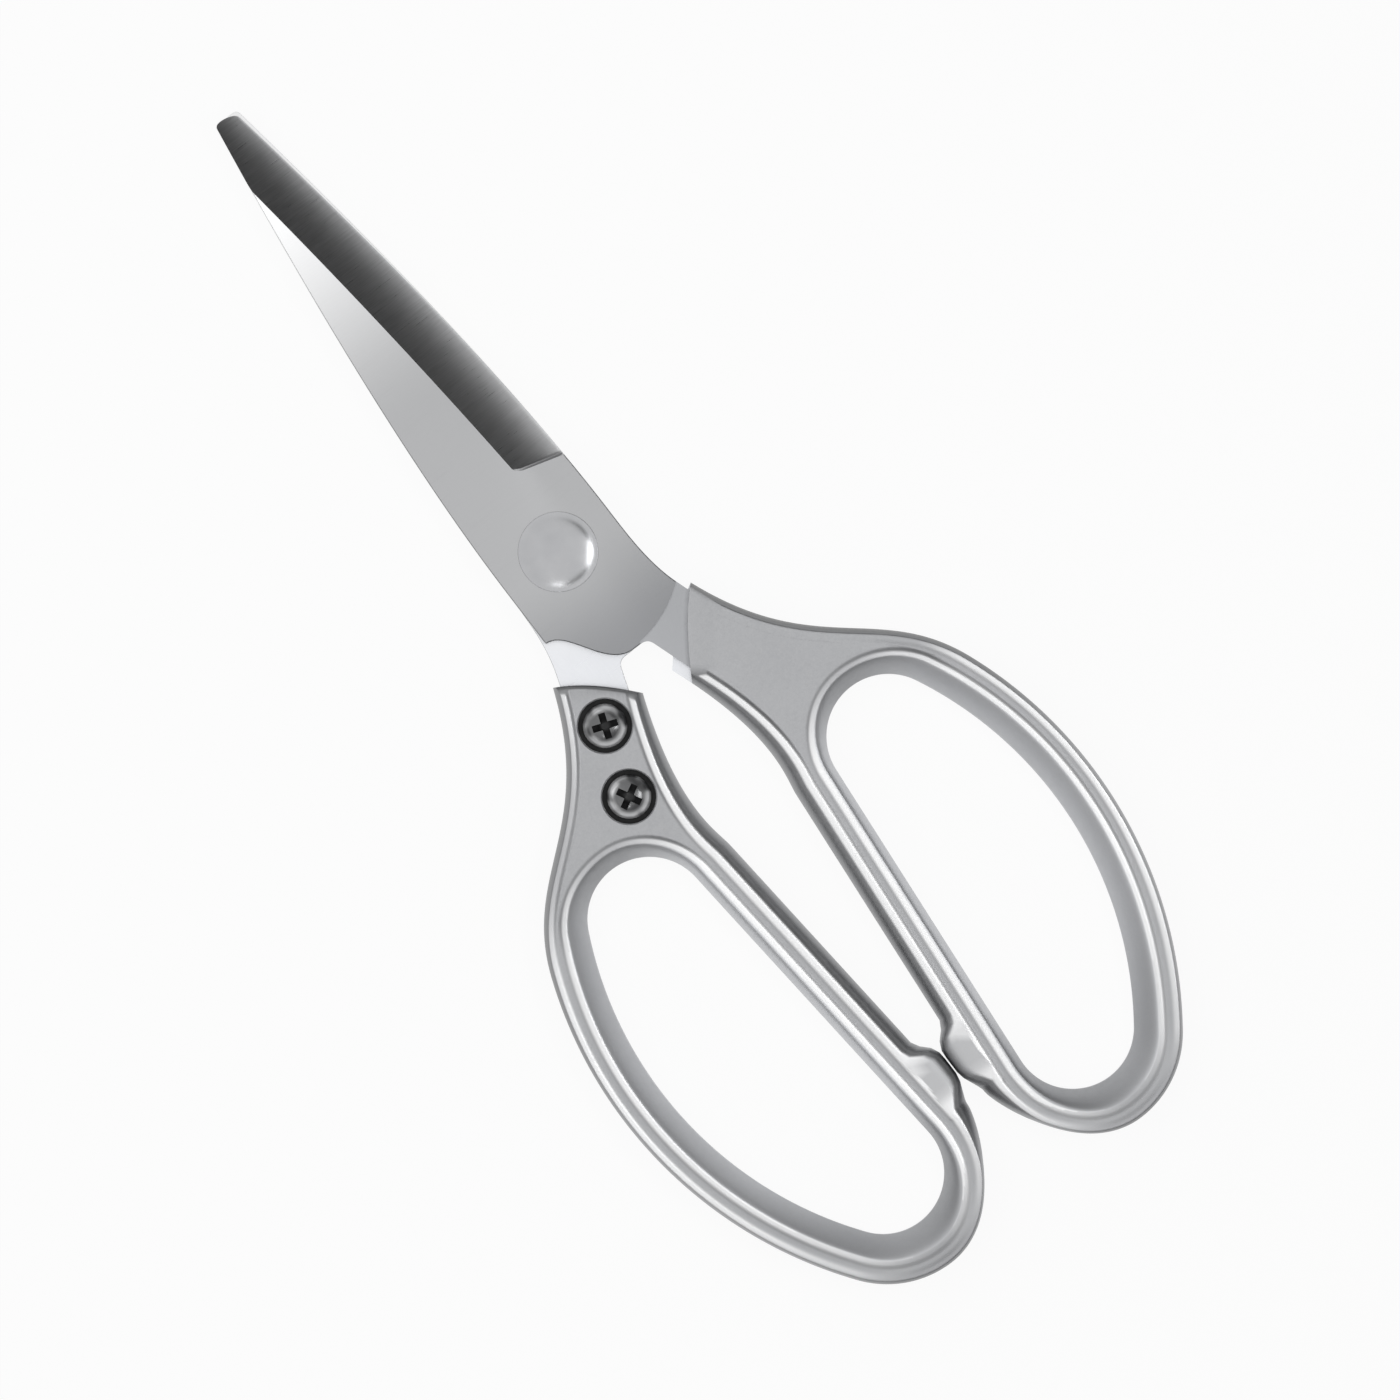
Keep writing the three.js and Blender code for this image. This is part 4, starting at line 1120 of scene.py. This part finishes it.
def turned_steel(name, base, roughness):
    """Steel with fine rings about the pivot."""
    metal = Metal(name, base, 1.0, roughness)
    across = metal.add("CombineXYZ", {"X": metal.along("X"), "Y": metal.along("Y")}).outputs[0]
    length = metal.add("VectorMath", {0: across}, operation="LENGTH").outputs["Value"]
    radius = metal.add("CombineXYZ", {"X": length, "Y": metal.along("Z")}).outputs[0]
    rings = metal.noise(1.0, (7000, 900, 1), detail=2.0, place=radius)
    smudge = metal.noise(240.0)
    colour = metal.blend(metal.ramp(smudge, -0.3, 0.3), grey(base * 0.94, 0.02), grey(base * 1.05, 0.015))
    metal.set(Base_Color=colour, Roughness=metal.total(roughness, (rings, 0.10), (smudge, 0.08)))
    metal.bump(rings, 0.002)
    return metal.material


# Assembly


def settle(body, half, node, turned=False):
    """Puts a piece in its place, turned over for the back half, and hands it to the frame."""
    if turned:
        body.data.transform(Matrix.Rotation(math.pi, 4, "Y"))
    body.data.transform(Matrix.Translation((0, 0, bead_level * MM)))
    shade(body)
    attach(body, half)
    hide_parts(node)


# heel and tip are the greys of painted shade and painted light on the outer face
blade_satin = satin_steel("satin_blade_steel", base=0.39, heel=0.25, tip=0.92, roughness=0.33)
blade_ground = ground_steel("ground_blade_steel", base=0.43, roughness=0.30)
blade_polished = satin_steel("polished_blade_steel", 0.66, 0.66, 0.66, 0.24, (9000, 320, 320), 0.0012)
tang_steel = satin_steel("tang_steel", 0.36, 0.36, 0.36, 0.36, (3000, 2600, 2600), 0.004)
handle_alloy = cast_alloy("cast_alloy", base=0.40, roughness=0.44)
screw_black = black_oxide("black_oxide", base=0.10, roughness=0.21, wear=0.35, oil=0.6)
recess_black = black_oxide("black_oxide_recess", base=0.02, roughness=0.42, wear=0.15)
# near-black paint that stands in for the shade in the counterbores
bore_painted_shade = black_oxide("painted_shade_bore", base=0.015, roughness=0.5, wear=0.1)
rivet_steel = turned_steel("rivet_steel", base=0.36, roughness=0.21)
washer_steel = turned_steel("washer_steel", base=0.55, roughness=0.34)

halves = [
    ("front_half", "front_blade", "right_handle", "right", False),
    ("back_half", "back_blade", "left_handle", "left", True),
]
for half, blade_name, handle_name, side, turned in halves:
    made = blade("shown_" + blade_name, blade_satin, blade_ground, blade_polished, tang_steel)
    settle(made, half, blade_name, turned)
    # the tang's machined seat takes bright polished steel, partly painted light on its shaded ledge
    made = handle("shown_" + handle_name, handle_alloy, bore_painted_shade, blade_polished)
    settle(made, half, handle_name, turned)
    for number, height in enumerate(("upper", "lower")):
        node = f"{side}_{height}_screw"
        made = screw("shown_" + node, screw_black, recess_black, RECESS_TURNS[number] * (1 if turned else -1))
        place = point(*screw_place(number), screw_seat - SCREW_SEAT_GAP) * MM
        made.data.transform(Matrix.Rotation(math.pi, 4, "X"))
        made.data.transform(Matrix.Translation(place))
        settle(made, half, node, turned)
settle(rivet("shown_pivot_rivet", rivet_steel), "back_half", "pivot_rivet")
settle(washer("shown_spring_washer", washer_steel), "back_half", "spring_washer")


# Floor, light and camera

PHOTO_WIDTH = 219.4  # of the whole frame, in millimetres at the shears
PHOTO_CENTRE = (3.55, -31.91)
PHOTO_TURN = -37.43 * degrees
CAMERA_LENS = 300
SENSOR = 36
FLOOR_SIZE = 6.0  # half of it, in metres
FLOOR_DROP = 0.05 * MM
FLOOR_PAPER = 0.9
FLOOR_GLOW = 0.93  # share of plain white that the camera and reflections see
WALL_TONES = ((0.0, 1.0), (0.06, 1.0), (0.16, 0.46), (0.5, 0.38), (0.87, 0.32), (1.0, 0.36))  # by height
FLAG_DIRECTION = (0.763, 0.067, 0.643)
FLAG_REACH = {"From Min": 0.87, "From Max": 0.96, "To Min": 1.0, "To Max": 0.1}


def floor():
    """A sheet of white paper that keeps the shears' shadow."""
    mesh = bpy.data.meshes.new("floor")
    corners = [(x * FLOOR_SIZE, y * FLOOR_SIZE, -FLOOR_DROP) for x, y in ((-1, -1), (1, -1), (1, 1), (-1, 1))]
    mesh.from_pydata(corners, [], [(0, 1, 2, 3)])
    made = new_object("floor", mesh)
    material = bpy.data.materials.new("floor_white")
    nodes = Nodes(material)
    nodes.tree.nodes.clear()
    paper = nodes.add("BsdfDiffuse", {"Color": grey(FLOOR_PAPER)})
    white = nodes.add("Emission")
    rays = nodes.add("LightPath").outputs
    seen = nodes.math("MAXIMUM", rays["Is Camera Ray"], rays["Is Glossy Ray"])
    seen = nodes.math("MAXIMUM", seen, rays["Is Transmission Ray"])
    glow = nodes.math("MULTIPLY", seen, FLOOR_GLOW)
    both = nodes.add("MixShader", {0: glow, 1: paper.outputs[0], 2: white.outputs[0]})
    nodes.add("OutputMaterial", {0: both.outputs[0]})
    mesh.materials.append(material)


def softbox(name, place, aim, size, radiance):
    light = bpy.data.lights.new(name, "AREA")
    light.shape = "RECTANGLE"
    light.size, light.size_y = size
    light.energy = radiance * math.pi * size[0] * size[1]
    made = new_object(name, light)
    made.location = place
    made.rotation_euler = (Vector(aim) - Vector(place)).to_track_quat("-Z", "Y").to_euler()
    made.visible_camera = False


def surroundings():
    """A studio: white at the foot of its walls, grey above, and a black flag beside the cutting edge."""
    world = bpy.data.worlds.new("studio")
    bpy.context.scene.world = world
    nodes = Nodes(world)
    nodes.tree.nodes.clear()
    toward = nodes.add("TexCoord").outputs["Generated"]
    height = nodes.add("SeparateXYZ", {0: toward}).outputs["Z"]
    walls = nodes.add("ValToRGB", {0: height})
    stops = walls.color_ramp.elements
    for position, _ in WALL_TONES[1:-1]:
        stops.new(position)
    for stop, (_, tone) in zip(stops, WALL_TONES):
        stop.color = grey(tone)
    aim = nodes.add("VectorMath", {0: toward, 1: FLAG_DIRECTION}, operation="DOT_PRODUCT")
    flag = nodes.add("MapRange", {"Value": aim.outputs["Value"], **FLAG_REACH})
    studio = nodes.add("Background", {"Color": walls.outputs[0], "Strength": flag.outputs[0]})
    nodes.add("OutputWorld", {0: studio.outputs[0]})


def camera():
    data = bpy.data.cameras.new("camera")
    data.lens = CAMERA_LENS
    data.sensor_width = SENSOR
    made = new_object("camera", data)
    distance = PHOTO_WIDTH * MM * CAMERA_LENS / SENSOR
    made.location = (PHOTO_CENTRE[0] * MM, PHOTO_CENTRE[1] * MM, bead_level * MM + distance)
    made.rotation_euler = (0, 0, PHOTO_TURN)
    bpy.context.scene.camera = made


floor()
surroundings()
softbox("overhead", place=(-0.114, 0.12, 0.5), aim=(-0.114, 0.12, 0), size=(0.61, 0.60), radiance=0.94)
softbox("right_kicker", place=(0.205, -0.157, 0.62), aim=(0, 0, 0), size=(0.17, 0.08), radiance=8.0)
softbox("lower_kicker", place=(-0.157, -0.205, 0.62), aim=(0, 0, 0), size=(0.05, 0.05), radiance=8.0)
camera()

bpy.context.scene.view_settings.view_transform = "Standard"
